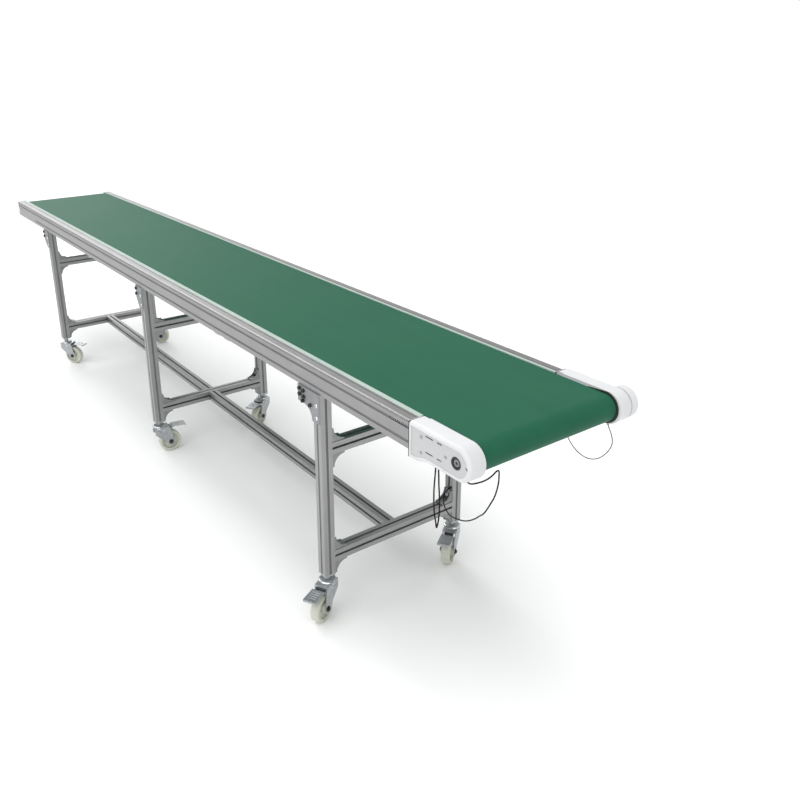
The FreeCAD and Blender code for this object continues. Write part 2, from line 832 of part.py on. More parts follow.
def castor_fork(label, x, y, turn):
    """The pressed fork with its swivel plate and riveted axle, trailing along the local +X."""
    body = new_body(label)
    trail, axle = "castor_trail", "wheel_radius"
    cheek = [
        ("-1 * fork_heel", FORK_TOP),
        ("-1 * fork_heel", f"{FORK_TOP} - fork_skirt"),
        (f"{trail} - fork_eye", axle),
        (f"{trail} + fork_eye", axle, trail, axle, 1),
        ("fork_nose", FORK_TOP),
    ]
    pad(body, outline(body, "XZ_Plane", cheek), "fork_inside + 2 * fork_wall", middle=True)
    gap = box_points("-1 * fork_inside / 2", "fork_inside / 2", "0", f"{FORK_TOP} - fork_top_thick")
    pocket(body, outline(body, "YZ_Plane", gap), "4 * wheel_radius", middle=True)
    disc = blank_sketch(body, "XY_Plane", f"{FORK_TOP} - fork_top_thick")
    add_circle(disc, "0", "0", "cup_radius")
    pad(body, disc, "fork_top_thick")
    bore = blank_sketch(body, "XY_Plane", f"{FORK_TOP} - fork_top_thick")
    add_circle(bore, "0", "0", "stem_radius + stem_fit")
    pocket(body, bore, "2 * fork_top_thick", back=True)
    pin = blank_sketch(body, "XZ_Plane")
    add_circle(pin, trail, axle, "axle_radius")
    pad(body, pin, "fork_inside + 2 * fork_wall + 2 * axle_head", middle=True)
    return put(body, x, y, "0", turn)


def castor_wheel(label, x, y, turn):
    """A one-piece nylon wheel, turned about its axle, with a hub wider than the tread."""
    body = new_body(label)
    tread, hub, web = "wheel_wide / 2", "hub_wide / 2", "web_thick / 2"
    crown = "wheel_radius - tread_round"
    points = [
        ("axle_radius + axle_fit", minus(hub)),
        ("hub_radius", minus(hub)),
        ("hub_radius", minus(web)),
        ("rim_inner", minus(web)),
        ("rim_inner", minus(tread)),
        (crown, minus(tread)),
        ("wheel_radius", f"tread_round - {tread}", crown, f"tread_round - {tread}", 1),
        ("wheel_radius", f"{tread} - tread_round"),
        (crown, tread, crown, f"{tread} - tread_round", 1),
        ("rim_inner", tread),
        ("rim_inner", web),
        ("hub_radius", web),
        ("hub_radius", hub),
        ("axle_radius + axle_fit", hub),
    ]
    revolve(body, outline(body, "XY_Plane", points))
    east = f"{x} + castor_trail * ( {math.cos(math.radians(turn)):.9f} )"
    north = f"{y} + castor_trail * ( {math.sin(math.radians(turn)):.9f} )"
    return put(body, east, north, "wheel_radius", turn)


def brake_pedal(label, x, y, turn):
    """The brake lever: an arm on a pin between the fork's cheeks, and outside the fork a wider
    tread plate that rises, slopes away and ends in a turned-down lip."""
    body = new_body(label)
    level, thick = f"( {FORK_TOP} - pedal_drop )", "pedal_thick"
    crest = f"( {level} + pedal_rise )"
    tip = f"( {crest} - pedal_tip_drop )"
    tread = [
        ("pedal_out", f"{level} - {thick}"),
        ("pedal_crest", f"{crest} - {thick}"),
        (f"pedal_reach - {thick}", f"{tip} - {thick}"),
        (f"pedal_reach - {thick}", f"{tip} - pedal_lip"),
        ("pedal_reach", f"{tip} - pedal_lip"),
        ("pedal_reach", tip),
        ("pedal_crest", crest),
        ("pedal_out", level),
    ]
    pad(body, outline(body, "XZ_Plane", tread), "pedal_wide", middle=True)
    arm = box_points("0", "pedal_out", f"{level} - {thick}", level)
    pad(body, outline(body, "XZ_Plane", arm), "pedal_arm_wide", middle=True)
    pin = blank_sketch(body, "XZ_Plane")
    add_circle(pin, "fork_heel / 2", f"{level} - {thick} / 2", "pedal_pin")
    pad(body, pin, "fork_inside", middle=True)
    return put(body, x, y, "0", turn)


def cord(label, radius, route):
    """A round cord along straight runs joined by arcs, each as large as its runs allow."""
    spots = [Vector(*spot) for spot in route]
    edges, radii, start = [], [], spots[0]
    for before, corner, after in zip(spots, spots[1:], spots[2:]):
        arm, leaving = corner - before, after - corner
        half_turn = arm.getAngle(leaving) / 2
        cut = CORD_SHARE * min(arm.Length, leaving.Length)
        bend = cut / math.tan(half_turn)
        arm.normalize()
        leaving.normalize()
        enter, leave = corner - arm * cut, corner + leaving * cut
        inwards = leaving - arm
        inwards.normalize()
        middle = corner + inwards * bend * (1 / math.cos(half_turn) - 1)
        edges += [Part.LineSegment(start, enter).toShape(), Part.Arc(enter, middle, leave).toShape()]
        radii.append(bend)
        start = leave
    edges.append(Part.LineSegment(start, spots[-1]).toShape())
    path = Part.Wire(edges)
    ring_edge = Part.Circle(spots[0], spots[1] - spots[0], number(radius)).toShape()
    tube = path.makePipeShell([Part.Wire(ring_edge)], True, True)
    expected = math.pi * number(radius) ** 2 * path.Length
    if not tube.isValid() or abs(tube.Volume / expected - 1) > VOLUME_CARE:
        raise ValueError(f"{label}: the cord's volume is not its section times its length")
    thing = doc.addObject("Part::Feature", label)
    thing.Label = label
    thing.Shape = tube
    thing.Placement = Placement()
    print(label, "length", round(path.Length), "bends from", round(min(radii), 1), "to", round(max(radii)))
    return thing


# The three stands, tied to the roller distance, and how far each head bracket reaches.
STANDS = [
    ("drive", "( stand_spacing - stand_shift )", "head_reach_drive", True),
    ("mid", "( -1 * stand_shift )", "head_reach_mid", False),
    ("tail", "( -1 * ( stand_spacing + stand_shift ) )", "head_reach_tail", False),
]
SIDES = [("right", -1), ("left", 1)]
# The direction in which each castor trails, in degrees from +X.
TRAILS = {
    ("drive", "right"): 297,
    ("drive", "left"): 304,
    ("mid", "right"): 83,
    ("mid", "left"): 300,
    ("tail", "right"): 40,
    ("tail", "left"): 66,
}

# How much of the shorter run an arc takes, and how closely a tube's volume is checked.
CORD_SHARE = 0.45
VOLUME_CARE = 0.01

# The cables' routes as they hang in the photograph, chosen by hand.
RIGHT_LOOP = [
    (1921, -280, 793), (1921, -280, 784), (1919, -280, 769), (1915, -280, 745), (1911, -279, 711),
    (1910, -279, 675), (1910, -279, 652), (1910.5, -278, 640), (1911, -278, 632), (1913, -278, 624),
    (1918.5, -278, 618.5), (1926, -278, 616.5), (1933.5, -278, 618.5), (1939, -278, 624),
    (1941, -278, 632), (1941.5, -278, 641), (1942, -279, 653), (1942, -279, 676), (1939, -279, 711),
    (1935, -280, 745), (1933, -280, 769), (1932, -280, 784), (1932, -280, 793),
]
SLACK_CABLE = [
    (2016, -262, 793), (2016, -262, 785), (2018, -258, 777), (2022, -250, 773), (2028, -239, 773.5),
    (2034, -226, 778), (2038, -213, 785.5), (2040, -199.5, 793), (2039, -188, 797), (2036, -177.5, 795),
    (2032, -170.5, 786), (2028, -165.5, 770), (2022, -160, 748), (2014, -154, 720), (2002, -147, 690),
    (1981, -136, 654), (1952, -119, 613), (1919, -99, 575), (1881, -77, 541), (1841, -54, 509),
    (1802, -29, 479), (1762, -4, 449), (1721, 20, 421), (1679, 45, 393), (1637, 69, 367),
    (1594, 93, 340), (1551, 117, 315), (1506, 142, 293), (1470, 163, 281), (1443, 180, 276),
    (1423, 195, 278), (1408, 209, 283), (1398.5, 222, 289), (1393.5, 234, 294.5), (1392, 242, 297),
    (1392, 250, 297),
]
LEFT_LOOP = [
    (2016, 258, 793), (2016, 258, 784), (2020, 258, 771), (2028, 258, 753), (2034, 258, 731),
    (2032, 258, 705), (2018, 258, 681), (1996, 258, 664), (1970, 258, 657), (1943, 258, 658),
    (1917, 258, 667), (1893, 258, 684), (1874, 258, 708), (1860, 258, 735), (1850, 258, 758),
    (1846, 258, 771), (1846, 258, 781),
]

subparts = [conveyor_belt(), guide_strips(), end_gaskets(), tension_spindles()]
subparts += [return_rollers(), return_brackets(), bed_cross_ties()]
subparts.append(bed_sheet("slider_bed", BLOCK_FRONT, RAIL_END, INSIDE))
subparts.append(bed_sheet("drive_bed_plate", RAIL_END, f"( {AXIS_X} - bed_end_gap )", LIP_FACE))
subparts.append(bed_sheet("tail_bed_plate", f"( bed_end_gap - {AXIS_X} )", BLOCK_FRONT, INSIDE))
subparts.append(roller("drive_roller", AXIS_X, "( cover_seam + bearing_deep )"))
subparts.append(roller("tail_roller", minus(AXIS_X), f"( {OUTSIDE} - shaft_cover )"))
for side_name, side in SIDES:
    subparts.append(side_rail(f"side_rail_{side_name}", side))
    subparts.append(tail_block(f"tail_block_{side_name}", side))
    subparts.append(drive_housing(f"drive_housing_{side_name}", side))
    subparts.append(housing_cover(f"housing_cover_{side_name}", side, capped=side > 0))
    subparts.append(ring(f"shaft_bearing_{side_name}", side))
subparts.append(motor_cap())
subparts.append(cord("cable_loop_right", "cable_radius", RIGHT_LOOP))
subparts.append(cord("slack_cable", "cable_radius", SLACK_CABLE))
subparts.append(cord("cable_loop_left", "wire_radius", LEFT_LOOP))

for stand, x, _, _ in STANDS:
    for side_name, side in SIDES:
        y = f"{side} * {LEG_Y}"
        turn = TRAILS[(stand, side_name)]
        tag = f"{stand}_{side_name}"
        subparts.append(leg(f"leg_{tag}", x, side))
        subparts.append(castor_fork(f"castor_fork_{tag}", x, y, turn))
        subparts.append(castor_wheel(f"castor_wheel_{tag}", x, y, turn))
        subparts.append(brake_pedal(f"brake_pedal_{tag}", x, y, turn))
    corners = [
        gusset(x, side, height, above)
        for side in (1, -1)
        for height in ("upper_bar_height", "lower_bar_height")
        for above in (1, -1)
    ]
    subparts.append(gathered(f"corner_gussets_{stand}", corners))
subparts.append(gathered("upper_crossbars", [crossbar(x, "upper_bar_height") for _, x, _, _ in STANDS]))
subparts.append(gathered("lower_crossbars", [crossbar(x, "lower_bar_height") for _, x, _, _ in STANDS]))
heads = [head_bracket(x, side, reach, curved) for _, x, reach, curved in STANDS for _, side in SIDES]
subparts.append(gathered("leg_head_brackets", heads))
stems = [castor_stem(x, side) for _, x, _, _ in STANDS for _, side in SIDES]
subparts.append(gathered("castor_stems", stems))
subparts.append(stringer("stringer_drive", 1))
subparts.append(stringer("stringer_tail", -1))

doc.recompute()
failed = [o.Label for o in doc.Objects if {"Invalid", "Error"} & set(o.State)]
if failed:
    raise ValueError(f"objects that failed: {failed}")
for piece in subparts:
    if piece.Shape.isNull() or not piece.Shape.isValid():
        raise ValueError(f"{piece.Label}: its shape is not sound")

os.makedirs("parts", exist_ok=True)
for piece in subparts:
    piece.Shape.exportStep(f"parts/{piece.Label}.step")
    print(piece.Label, len(piece.Shape.Solids), round(piece.Shape.Volume))
print("sub-parts:", len(subparts))
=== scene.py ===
import json
import math

import bmesh
import bpy
from mathutils import Matrix, Vector


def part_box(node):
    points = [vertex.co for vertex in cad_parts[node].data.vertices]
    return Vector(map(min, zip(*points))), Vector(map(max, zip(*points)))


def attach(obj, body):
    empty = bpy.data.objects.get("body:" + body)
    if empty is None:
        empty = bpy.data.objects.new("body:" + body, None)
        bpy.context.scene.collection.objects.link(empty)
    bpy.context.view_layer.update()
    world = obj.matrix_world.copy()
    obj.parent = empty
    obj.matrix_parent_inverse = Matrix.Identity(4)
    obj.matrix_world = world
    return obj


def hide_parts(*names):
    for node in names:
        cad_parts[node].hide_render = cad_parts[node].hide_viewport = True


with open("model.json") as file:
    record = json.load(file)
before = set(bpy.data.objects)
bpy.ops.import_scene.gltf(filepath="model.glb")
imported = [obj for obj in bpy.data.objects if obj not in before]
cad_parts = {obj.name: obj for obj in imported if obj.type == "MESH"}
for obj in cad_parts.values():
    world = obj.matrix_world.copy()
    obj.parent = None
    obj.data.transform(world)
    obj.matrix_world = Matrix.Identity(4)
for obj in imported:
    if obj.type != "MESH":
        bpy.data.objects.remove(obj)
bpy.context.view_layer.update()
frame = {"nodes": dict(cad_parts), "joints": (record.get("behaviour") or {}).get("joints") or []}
NODES = frame["nodes"]
JOINTS = {joint["name"]: joint for joint in frame["joints"]}
# Each side's sign along Y with its name, and the three stands' names.
SIDES = ((-1, "right"), (1, "left"))
STANDS = ("drive", "mid", "tail")


def mm(*spot):
    """A place in millimetres, as metres."""
    return tuple(value / 1000.0 for value in spot)


def middle(low, high, axis):
    """The middle of a box along one axis."""
    return (low[axis] + high[axis]) / 2.0


def in_scene(name, data):
    """An object at the origin that holds the mesh, curve, lamp or camera."""
    made = bpy.data.objects.new(name, data)
    bpy.context.scene.collection.objects.link(made)
    return made


# ---------------------------------------------------------------- shader tools

class Wire:
    """One output socket of a finish. Arithmetic on it adds the Math nodes."""

    def __init__(self, finish, socket):
        self.finish = finish
        self.socket = socket

    def _math(self, operation, first, second):
        return self.finish.node("ShaderNodeMath", {"operation": operation}, {0: first, 1: second})

    def __add__(self, other):
        return self._math("ADD", self, other)

    __radd__ = __add__

    def __mul__(self, other):
        return self._math("MULTIPLY", self, other)

    __rmul__ = __mul__


class Finish:
    """A material whose nodes are added by node()."""

    def __init__(self, name, **constants):
        self.material = bpy.data.materials.new(name)
        self.material.use_nodes = True
        self.tree = self.material.node_tree
        self.shader = self.tree.nodes["Principled BSDF"]
        for label, value in constants.items():
            self.shader.inputs[label.replace("_", " ")].default_value = value
        self.place = self.node("ShaderNodeTexCoord", out="Object")

    def feed(self, target, value):
        if isinstance(value, Wire):
            self.tree.links.new(value.socket, target)
        else:
            target.default_value = value

    def node(self, kind, settings=None, inputs=None, out=0):
        made = self.tree.nodes.new(kind)
        for name, value in (settings or {}).items():
            if name == "stops":
                set_stops(made.color_ramp, value)
            else:
                setattr(made, name, value)
        for key, value in (inputs or {}).items():
            self.feed(made.inputs[key], value)
        return Wire(self, made.outputs[out])

    def stretched(self, scale):
        """The piece's own coordinates, scaled along each axis."""
        return self.node("ShaderNodeMapping", None, {"Vector": self.place, "Scale": scale})

    def noise(self, scale, detail=2.0, roughness=0.5, vector=None):
        inputs = {"Vector": vector or self.place, "Scale": scale, "Detail": detail, "Roughness": roughness}
        return self.node("ShaderNodeTexNoise", None, inputs)

    def ramp(self, factor, stops):
        return self.node("ShaderNodeValToRGB", {"stops": stops}, {"Fac": factor})

    def mix(self, factor, first, second):
        inputs = {"Factor": factor, 6: first, 7: second}
        return self.node("ShaderNodeMix", {"data_type": "RGBA"}, inputs, out=2)

    def compare(self, value, other, margin):
        return self.node("ShaderNodeMath", {"operation": "COMPARE"}, {0: value, 1: other, 2: margin})

    def size_of(self, value):
        return self.node("ShaderNodeMath", {"operation": "ABSOLUTE"}, {0: value})

    def bump(self, height, strength, distance):
        inputs = {"Height": height, "Strength": strength, "Distance": distance}
        return self.node("ShaderNodeBump", None, inputs)

    def use(self, **sockets):
        for label, value in sockets.items():
            self.feed(self.shader.inputs[label.replace("_", " ")], value)
        return self.material


def set_stops(ramp, stops):
    while len(ramp.elements) < len(stops):
        ramp.elements.new(1.0)
    for element, (position, colour) in zip(ramp.elements, stops):
        element.position = position
        element.color = colour


def grey(value):
    return (value, value, value, 1.0)


def tint(red, green, blue):
    return (red, green, blue, 1.0)


# ------------------------------------------------------------------- finishes

# Distances from the machine's middle: the covers' outer faces, the right one's sunk panel, and the
# belt's edges.
COVER_FACE = abs(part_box("housing_cover_right")[0][1])
PANEL_DEPTH = 0.002
PANEL_FACE = COVER_FACE - PANEL_DEPTH
BELT_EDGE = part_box("conveyor_belt")[1][1]


def anodised(name, along, dark=0.30, light=0.36):
    """Natural anodised aluminium with fine die lines along the extrusion."""
    finish = Finish(name, Metallic=0.75, IOR=1.5)
    scale = [900.0, 900.0, 900.0]
    scale[along] = 4.0
    lines = finish.noise(1.0, 3.0, 0.6, finish.stretched(scale))
    cloud = finish.noise(9.0, 3.0, 0.6)
    colour = finish.ramp(lines * 0.55 + cloud * 0.45, [(0.35, grey(dark)), (0.65, grey(light))])
    rough = lines * 0.12 + cloud * 0.08 + 0.30
    return finish.use(Base_Color=colour, Roughness=rough, Normal=finish.bump(lines, 0.25, 0.0002))


def belt_cloth():
    """Green conveyor belting with a fine matt fabric print; its side edges are painted dark as shade."""
    finish = Finish("green_belting", Specular_IOR_Level=0.05)
    cells = {"Vector": finish.place, "Scale": 900.0, "Randomness": 0.35}
    weave = finish.node("ShaderNodeTexVoronoi", {"feature": "F1"}, cells)
    cloud = finish.noise(3.0, 4.0, 0.6)
    long_marks = finish.noise(1.0, 3.0, 0.55, finish.stretched((1.2, 40.0, 40.0)))
    shade = cloud * 0.6 + long_marks * 0.4
    green = finish.ramp(shade, [(0.3, tint(0.018, 0.104, 0.060)), (0.7, tint(0.023, 0.118, 0.070))])
    sideways = finish.node("ShaderNodeSeparateXYZ", None, {"Vector": finish.place}, out="Y")
    # The belt's side faces are painted near-black: painted shade along its edges.
    painted_edge_shade = finish.compare(finish.size_of(sideways), BELT_EDGE, 0.0006)
    colour = finish.mix(painted_edge_shade, green, tint(0.012, 0.022, 0.018))
    rough = cloud * 0.10 + 0.38
    return finish.use(Base_Color=colour, Roughness=rough, Normal=finish.bump(weave, 0.35, 0.0003))


def moulded(name, colour, dark_colour, rough=0.38, grain=420.0, shine=0.5):
    """Moulded plastic with a fine spark-eroded grain."""
    finish = Finish(name, Specular_IOR_Level=shine)
    fine = finish.noise(grain, 2.0, 0.5)
    cloud = finish.noise(14.0, 3.0, 0.5)
    blend = finish.mix(finish.ramp(cloud, [(0.3, grey(0.0)), (0.7, grey(1.0))]), dark_colour, colour)
    gloss = fine * 0.1 + cloud * 0.08 + rough
    return finish.use(Base_Color=blend, Roughness=gloss, Normal=finish.bump(fine, 0.18, 0.0003))


def housing_plastic():
    """White satin plastic; the right cover's sunk panel is a shade greyer."""
    finish = Finish("white_housing_plastic", Specular_IOR_Level=0.45)
    fine = finish.noise(420.0, 2.0, 0.5)
    cloud = finish.noise(14.0, 3.0, 0.5)
    white = finish.ramp(cloud, [(0.3, tint(0.63, 0.64, 0.65)), (0.7, tint(0.67, 0.68, 0.69))])
    depth = finish.node("ShaderNodeSeparateXYZ", None, {"Vector": finish.place}, out="Y")
    normal = finish.node("ShaderNodeTexCoord", out="Normal")
    facing = finish.node("ShaderNodeSeparateXYZ", None, {"Vector": normal}, out="Y")
    at_panel = finish.compare(finish.size_of(depth), PANEL_FACE, 0.0004)
    panel = at_panel * finish.compare(finish.size_of(facing), 1.0, 0.05)
    colour = finish.mix(panel, white, tint(0.50, 0.505, 0.515))
    gloss = fine * 0.1 + cloud * 0.08 + 0.36
    return finish.use(Base_Color=colour, Roughness=gloss, Normal=finish.bump(fine, 0.18, 0.0003))


def zinc(name, colour, rough=0.3, scale=120.0, shine=0.9):
    """Zinc-plated steel, slightly blue, with a mottled gloss."""
    finish = Finish(name, Metallic=shine)
    spots = finish.noise(scale, 4.0, 0.6)
    cloud = finish.noise(20.0, 3.0, 0.5)
    darker = tuple(0.72 * c for c in colour[:3]) + (1.0,)
    mottle = finish.ramp(spots * 0.5 + cloud * 0.5, [(0.35, grey(0.0)), (0.65, grey(1.0))])
    blend = finish.mix(mottle, darker, colour)
    gloss = spots * 0.18 + cloud * 0.1 + (rough - 0.14)
    return finish.use(Base_Color=blend, Roughness=gloss, Normal=finish.bump(spots, 0.12, 0.0004))


def gasket_rubber():
    """Black rubber gasket whose upward faces are painted pale grey as a painted highlight."""
    finish = Finish("gasket_rubber")
    facing = finish.node("ShaderNodeTexCoord", out="Normal")
    upward = finish.node("ShaderNodeSeparateXYZ", None, {"Vector": facing}, out="Z")
    # Faces that point upward get a painted highlight: pale grey over the black rubber.
    painted_top_highlight = finish.compare(upward, 1.0, 0.4)
    specks = finish.noise(300.0)
    black = finish.ramp(specks, [(0.3, grey(0.010)), (0.7, grey(0.018))])
    return finish.use(
        Base_Color=finish.mix(painted_top_highlight, black, grey(0.5)),
        Roughness=specks * 0.1 + 0.5,
        Normal=finish.bump(specks, 0.2, 0.0003),
    )


ALONG_X = anodised("anodised_along_the_belt", 0, 0.27, 0.32)
ALONG_Y = anodised("anodised_across", 1)
ALONG_Z = anodised("anodised_upright", 2)
BELTING = belt_cloth()
WHITE = housing_plastic()
STRIP = moulded("guide_strip_plastic", tint(0.42, 0.51, 0.47), tint(0.37, 0.46, 0.42), 0.40)
NYLON = moulded("wheel_nylon", tint(0.60, 0.61, 0.53), tint(0.52, 0.53, 0.46), 0.42, 260.0)
BLACK = moulded("black_plastic", tint(0.012, 0.012, 0.013), tint(0.008, 0.008, 0.009), 0.4)
# A black used only for the painted shade in the gaps between the belt and the drive housings.
GAP_SHADE_BLACK = moulded("dark_rubber", tint(0.02, 0.02, 0.022), tint(0.013, 0.013, 0.014), 0.55)
ZINC = zinc("zinc_plated_steel", tint(0.46, 0.48, 0.50), shine=0.6)
BRIGHT = zinc("bright_zinc", tint(0.74, 0.76, 0.78), 0.24, 200.0)
SPRING = zinc("spring_wire", tint(0.86, 0.87, 0.89), 0.45, 240.0, 0.2)
BURNISHED = zinc("blackened_steel", tint(0.075, 0.078, 0.082), 0.38, 240.0)
SHEET = zinc("zinc_plated_sheet", tint(0.45, 0.47, 0.48), 0.42, 60.0)
CAST = zinc("blasted_casting", tint(0.33, 0.34, 0.35), 0.5, 300.0)
CABLE = moulded("black_cable_jacket", tint(0.006, 0.006, 0.007), tint(0.004, 0.004, 0.005), 0.6, shine=0.2)
GREY_CABLE = moulded("grey_cable_jacket", tint(0.10, 0.10, 0.105), tint(0.07, 0.07, 0.075), 0.5)
SLOT_PLASTIC = moulded("slot_strip_plastic", tint(0.16, 0.16, 0.165), tint(0.13, 0.13, 0.135), 0.5)
GASKET = gasket_rubber()

# The first line whose word starts a piece's name gives its finish.
FINISHES = [
    ("conveyor_belt", BELTING),
    ("guide_strips", STRIP),
    ("end_gaskets", GASKET),
    ("tension_spindles", BURNISHED),
    ("return_roller", ZINC),
    ("slider_bed", SHEET),
    ("bed_cross_ties", ALONG_Y),
    ("motor_cap", WHITE),
    ("drive_bed_plate", SHEET),
    ("tail_bed_plate", SHEET),
    ("drive_roller", ZINC),
    ("tail_roller", ZINC),
    ("side_rail", ALONG_X),
    ("stringer", ALONG_X),
    ("tail_block", ALONG_X),
    ("drive_housing", WHITE),
    ("housing_cover", WHITE),
    ("shaft_bearing", BLACK),
    ("leg_head", CAST),
    ("leg_", ALONG_Z),
    ("corner_gussets", CAST),
    ("upper_crossbars", ALONG_Y),
    ("lower_crossbars", ALONG_Y),
    ("castor_wheel", NYLON),
    ("castor_", ZINC),
    ("brake_pedal", ZINC),
]


def dress(node, material):
    node.data.materials.clear()
    node.data.materials.append(material)


for name, node in NODES.items():
    dress(node, next((finish for start, finish in FINISHES if name.startswith(start)), BLACK))


# ---------------------------------------------------------------------- cables

# The routes in millimetres, as the cables hang.
RIGHT_LOOP = [
    (1921, -280, 793), (1921, -280, 784), (1920, -280, 769), (1917.5, -280, 745), (1914.5, -279, 711),
    (1913.5, -277, 675), (1913.5, -275.5, 652), (1914, -274, 640), (1914.5, -272.5, 632),
    (1916.5, -272.3, 624), (1920.5, -274.5, 617), (1926, -278, 614.5), (1931.5, -281.5, 617),
    (1935.5, -283.7, 624), (1937.5, -283.5, 632), (1938, -282, 641), (1938.5, -281, 653),
    (1939, -280, 676), (1937, -279.5, 711), (1934, -280, 745), (1933, -280, 769), (1932, -280, 784),
    (1932, -280, 793),
]
SLACK_CABLE = [
    (2016, -262, 793), (2016, -262, 785), (2018, -258, 777.5), (2021.5, -249.5, 774.5),
    (2027, -238.5, 776), (2033.5, -226, 779), (2039, -213, 784.8), (2040.7, -199, 792),
    (2039, -188, 797), (2036.5, -177, 795), (2032, -170.4, 786), (2027.8, -165.8, 770),
    (2022, -160, 748), (2012.4, -155, 720.3), (1999.3, -149, 691), (1976, -139.5, 655.8),
    (1946, -122.5, 616.5), (1913.5, -101.5, 580), (1875, -78, 546.8), (1839, -52.5, 512.5),
    (1801.5, -29, 480), (1763, -4, 447.5), (1724, 18.8, 417), (1684, 43.8, 387.5), (1639, 66, 360),
    (1592, 88, 335), (1548.5, 112, 310), (1504.6, 138.1, 291), (1468.4, 160, 280), (1441, 177, 275.3),
    (1420, 191.5, 277.8), (1405, 206, 284), (1398, 220, 289.5), (1393.5, 233, 294.5), (1392, 242, 297),
    (1392, 250, 297),
]
LEFT_LOOP = [
    (2016, 258, 793), (2016, 258, 784), (2025, 258, 771), (2035, 258, 753), (2037.5, 258, 731),
    (2028, 258, 709), (2011, 258, 685), (1991, 258, 667), (1968, 258, 657), (1942, 258, 655),
    (1914, 258, 664), (1890, 258, 682), (1873, 258, 707), (1860, 258, 735), (1850, 258, 758),
    (1846, 258, 771), (1846, 258, 781),
]
CABLE_RADIUS = 0.002
WIRE_RADIUS = 0.0015


def spline_length(obj):
    """The length of the cable's own line, without its thickness."""
    depth, obj.data.bevel_depth = obj.data.bevel_depth, 0.0
    line = bpy.data.meshes.new_from_object(obj.evaluated_get(bpy.context.evaluated_depsgraph_get()))
    obj.data.bevel_depth = depth
    spots = [vertex.co for vertex in line.vertices]
    return sum((after - before).length for before, after in zip(spots, spots[1:]))


def cable(name, route, radius, finish):
    """A hanging cable that replaces its solid."""
    curve = bpy.data.curves.new(name + "_line", "CURVE")
    curve.dimensions = "3D"
    curve.resolution_u = 8
    curve.bevel_resolution = 5
    curve.use_fill_caps = True
    spline = curve.splines.new("NURBS")
    spline.points.add(len(route) - 1)
    for point, spot in zip(spline.points, route):
        point.co = (*mm(*spot), 1.0)
    spline.order_u = 3
    spline.use_endpoint_u = True
    obj = in_scene(name + "_cable", curve)
    bpy.context.view_layer.update()
    length = spline_length(obj)
    curve.bevel_depth = radius
    curve.materials.append(finish)
    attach(obj, "root")
    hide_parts(name)
    start = list(mm(*route[0]))


cable("cable_loop_right", RIGHT_LOOP, CABLE_RADIUS, CABLE)
cable("slack_cable", SLACK_CABLE, CABLE_RADIUS, CABLE)
cable("cable_loop_left", LEFT_LOOP, WIRE_RADIUS, GREY_CABLE)


# -------------------------------------------------------------- turned pieces

def turned(name, loops, sides=24):
    """A closed turned piece along +Z, not in the scene. A loop is (radius, height), or
    (half the width across flats, height, "hex"). Sizes in millimetres."""
    verts, faces = [], []
    for radius, height, *kind in loops:
        for step in range(sides):
            angle = 2.0 * math.pi * step / sides
            reach = radius
            if kind:
                reach = radius / math.cos(angle % (math.pi / 3.0) - math.pi / 6.0)
            verts.append(mm(reach * math.cos(angle), reach * math.sin(angle), height))
    for row in range(len(loops) - 1):
        for step in range(sides):
            after = (step + 1) % sides
            low, high = row * sides, (row + 1) * sides
            faces.append((low + step, low + after, high + after, high + step))
    faces.append(tuple(reversed(range(sides))))
    faces.append(tuple(range((len(loops) - 1) * sides, len(loops) * sides)))
    mesh = bpy.data.meshes.new(name)
    mesh.from_pydata(verts, [], faces)
    mesh.validate()
    return bpy.data.objects.new(name, mesh)


def ring_of(name, loops, sides=32):
    """A turned ring: its loops close on themselves."""
    piece = turned(name, loops, sides)
    mesh = bmesh.new()
    mesh.from_mesh(piece.data)
    mesh.faces.ensure_lookup_table()
    bmesh.ops.delete(mesh, geom=[face for face in mesh.faces if len(face.verts) > 4], context="FACES_ONLY")
    mesh.verts.ensure_lookup_table()
    last = (len(loops) - 1) * sides
    for step in range(sides):
        after = (step + 1) % sides
        mesh.faces.new([mesh.verts[i] for i in (last + step, last + after, after, step)])
    bmesh.ops.recalc_face_normals(mesh, faces=mesh.faces)
    mesh.to_mesh(piece.data)
    mesh.free()
    return piece


def cap_screw(name, radius, tall, socket):
    """A cylinder-head screw with a hexagon socket."""
    return turned(name, [
        (radius, -0.2), (radius, tall - 0.6), (radius - 0.6, tall), (socket * 1.28, tall),
        (socket, tall - 0.5, "hex"), (socket, tall * 0.4, "hex"), (socket * 0.3, tall * 0.25),
    ])


def button_screw(name, radius, tall, socket):
    """A low domed screw with a hexagon socket."""
    return turned(name, [
        (radius, -0.2), (radius, tall * 0.15), (radius * 0.92, tall * 0.5), (radius * 0.74, tall * 0.82),
        (radius * 0.54, tall), (socket, tall * 0.97, "hex"), (socket, tall * 0.25, "hex"),
        (socket * 0.3, tall * 0.1),
    ])


def hex_nut(name, flat, tall, bore):
    """A chamfered nut on a washer, with the end of its bolt in it."""
    half = flat / 2.0
    return turned(name, [
        (half * 1.65, -0.2), (half * 1.65, 1.2), (half * 1.6, 1.5), (half, 1.5), (half, 1.7, "hex"),
        (half, tall - 0.8, "hex"), (half * 0.93, tall), (bore, tall), (bore - 0.5, tall - 1.2),
        (bore - 0.8, tall - 1.2), (bore - 1.4, tall + 0.8), (0.3, tall + 0.8),
    ])


# ------------------------------------------------------------------- fixings

def named_inputs(tree, kinds):
    """Gives the tree its inputs and its one output; returns each input's identifier."""
    for label, kind in kinds:
        tree.interface.new_socket(label, in_out="INPUT", socket_type=f"NodeSocket{kind}")
    tree.interface.new_socket("Geometry", in_out="OUTPUT", socket_type="NodeSocketGeometry")
    return {item.name: item.identifier for item in tree.interface.items_tree if item.in_out == "INPUT"}


def geometry_node(tree, kind, settings=(), **values):
    """A node with its settings made first, then its sockets' links or values."""
    made = tree.nodes.new(kind)
    for name, value in settings:
        setattr(made, name, value)
    for label, value in values.items():
        target = made.inputs[label.replace("_", " ")]
        if isinstance(value, bpy.types.NodeSocket):
            tree.links.new(value, target)
        else:
            target.default_value = value
    return made


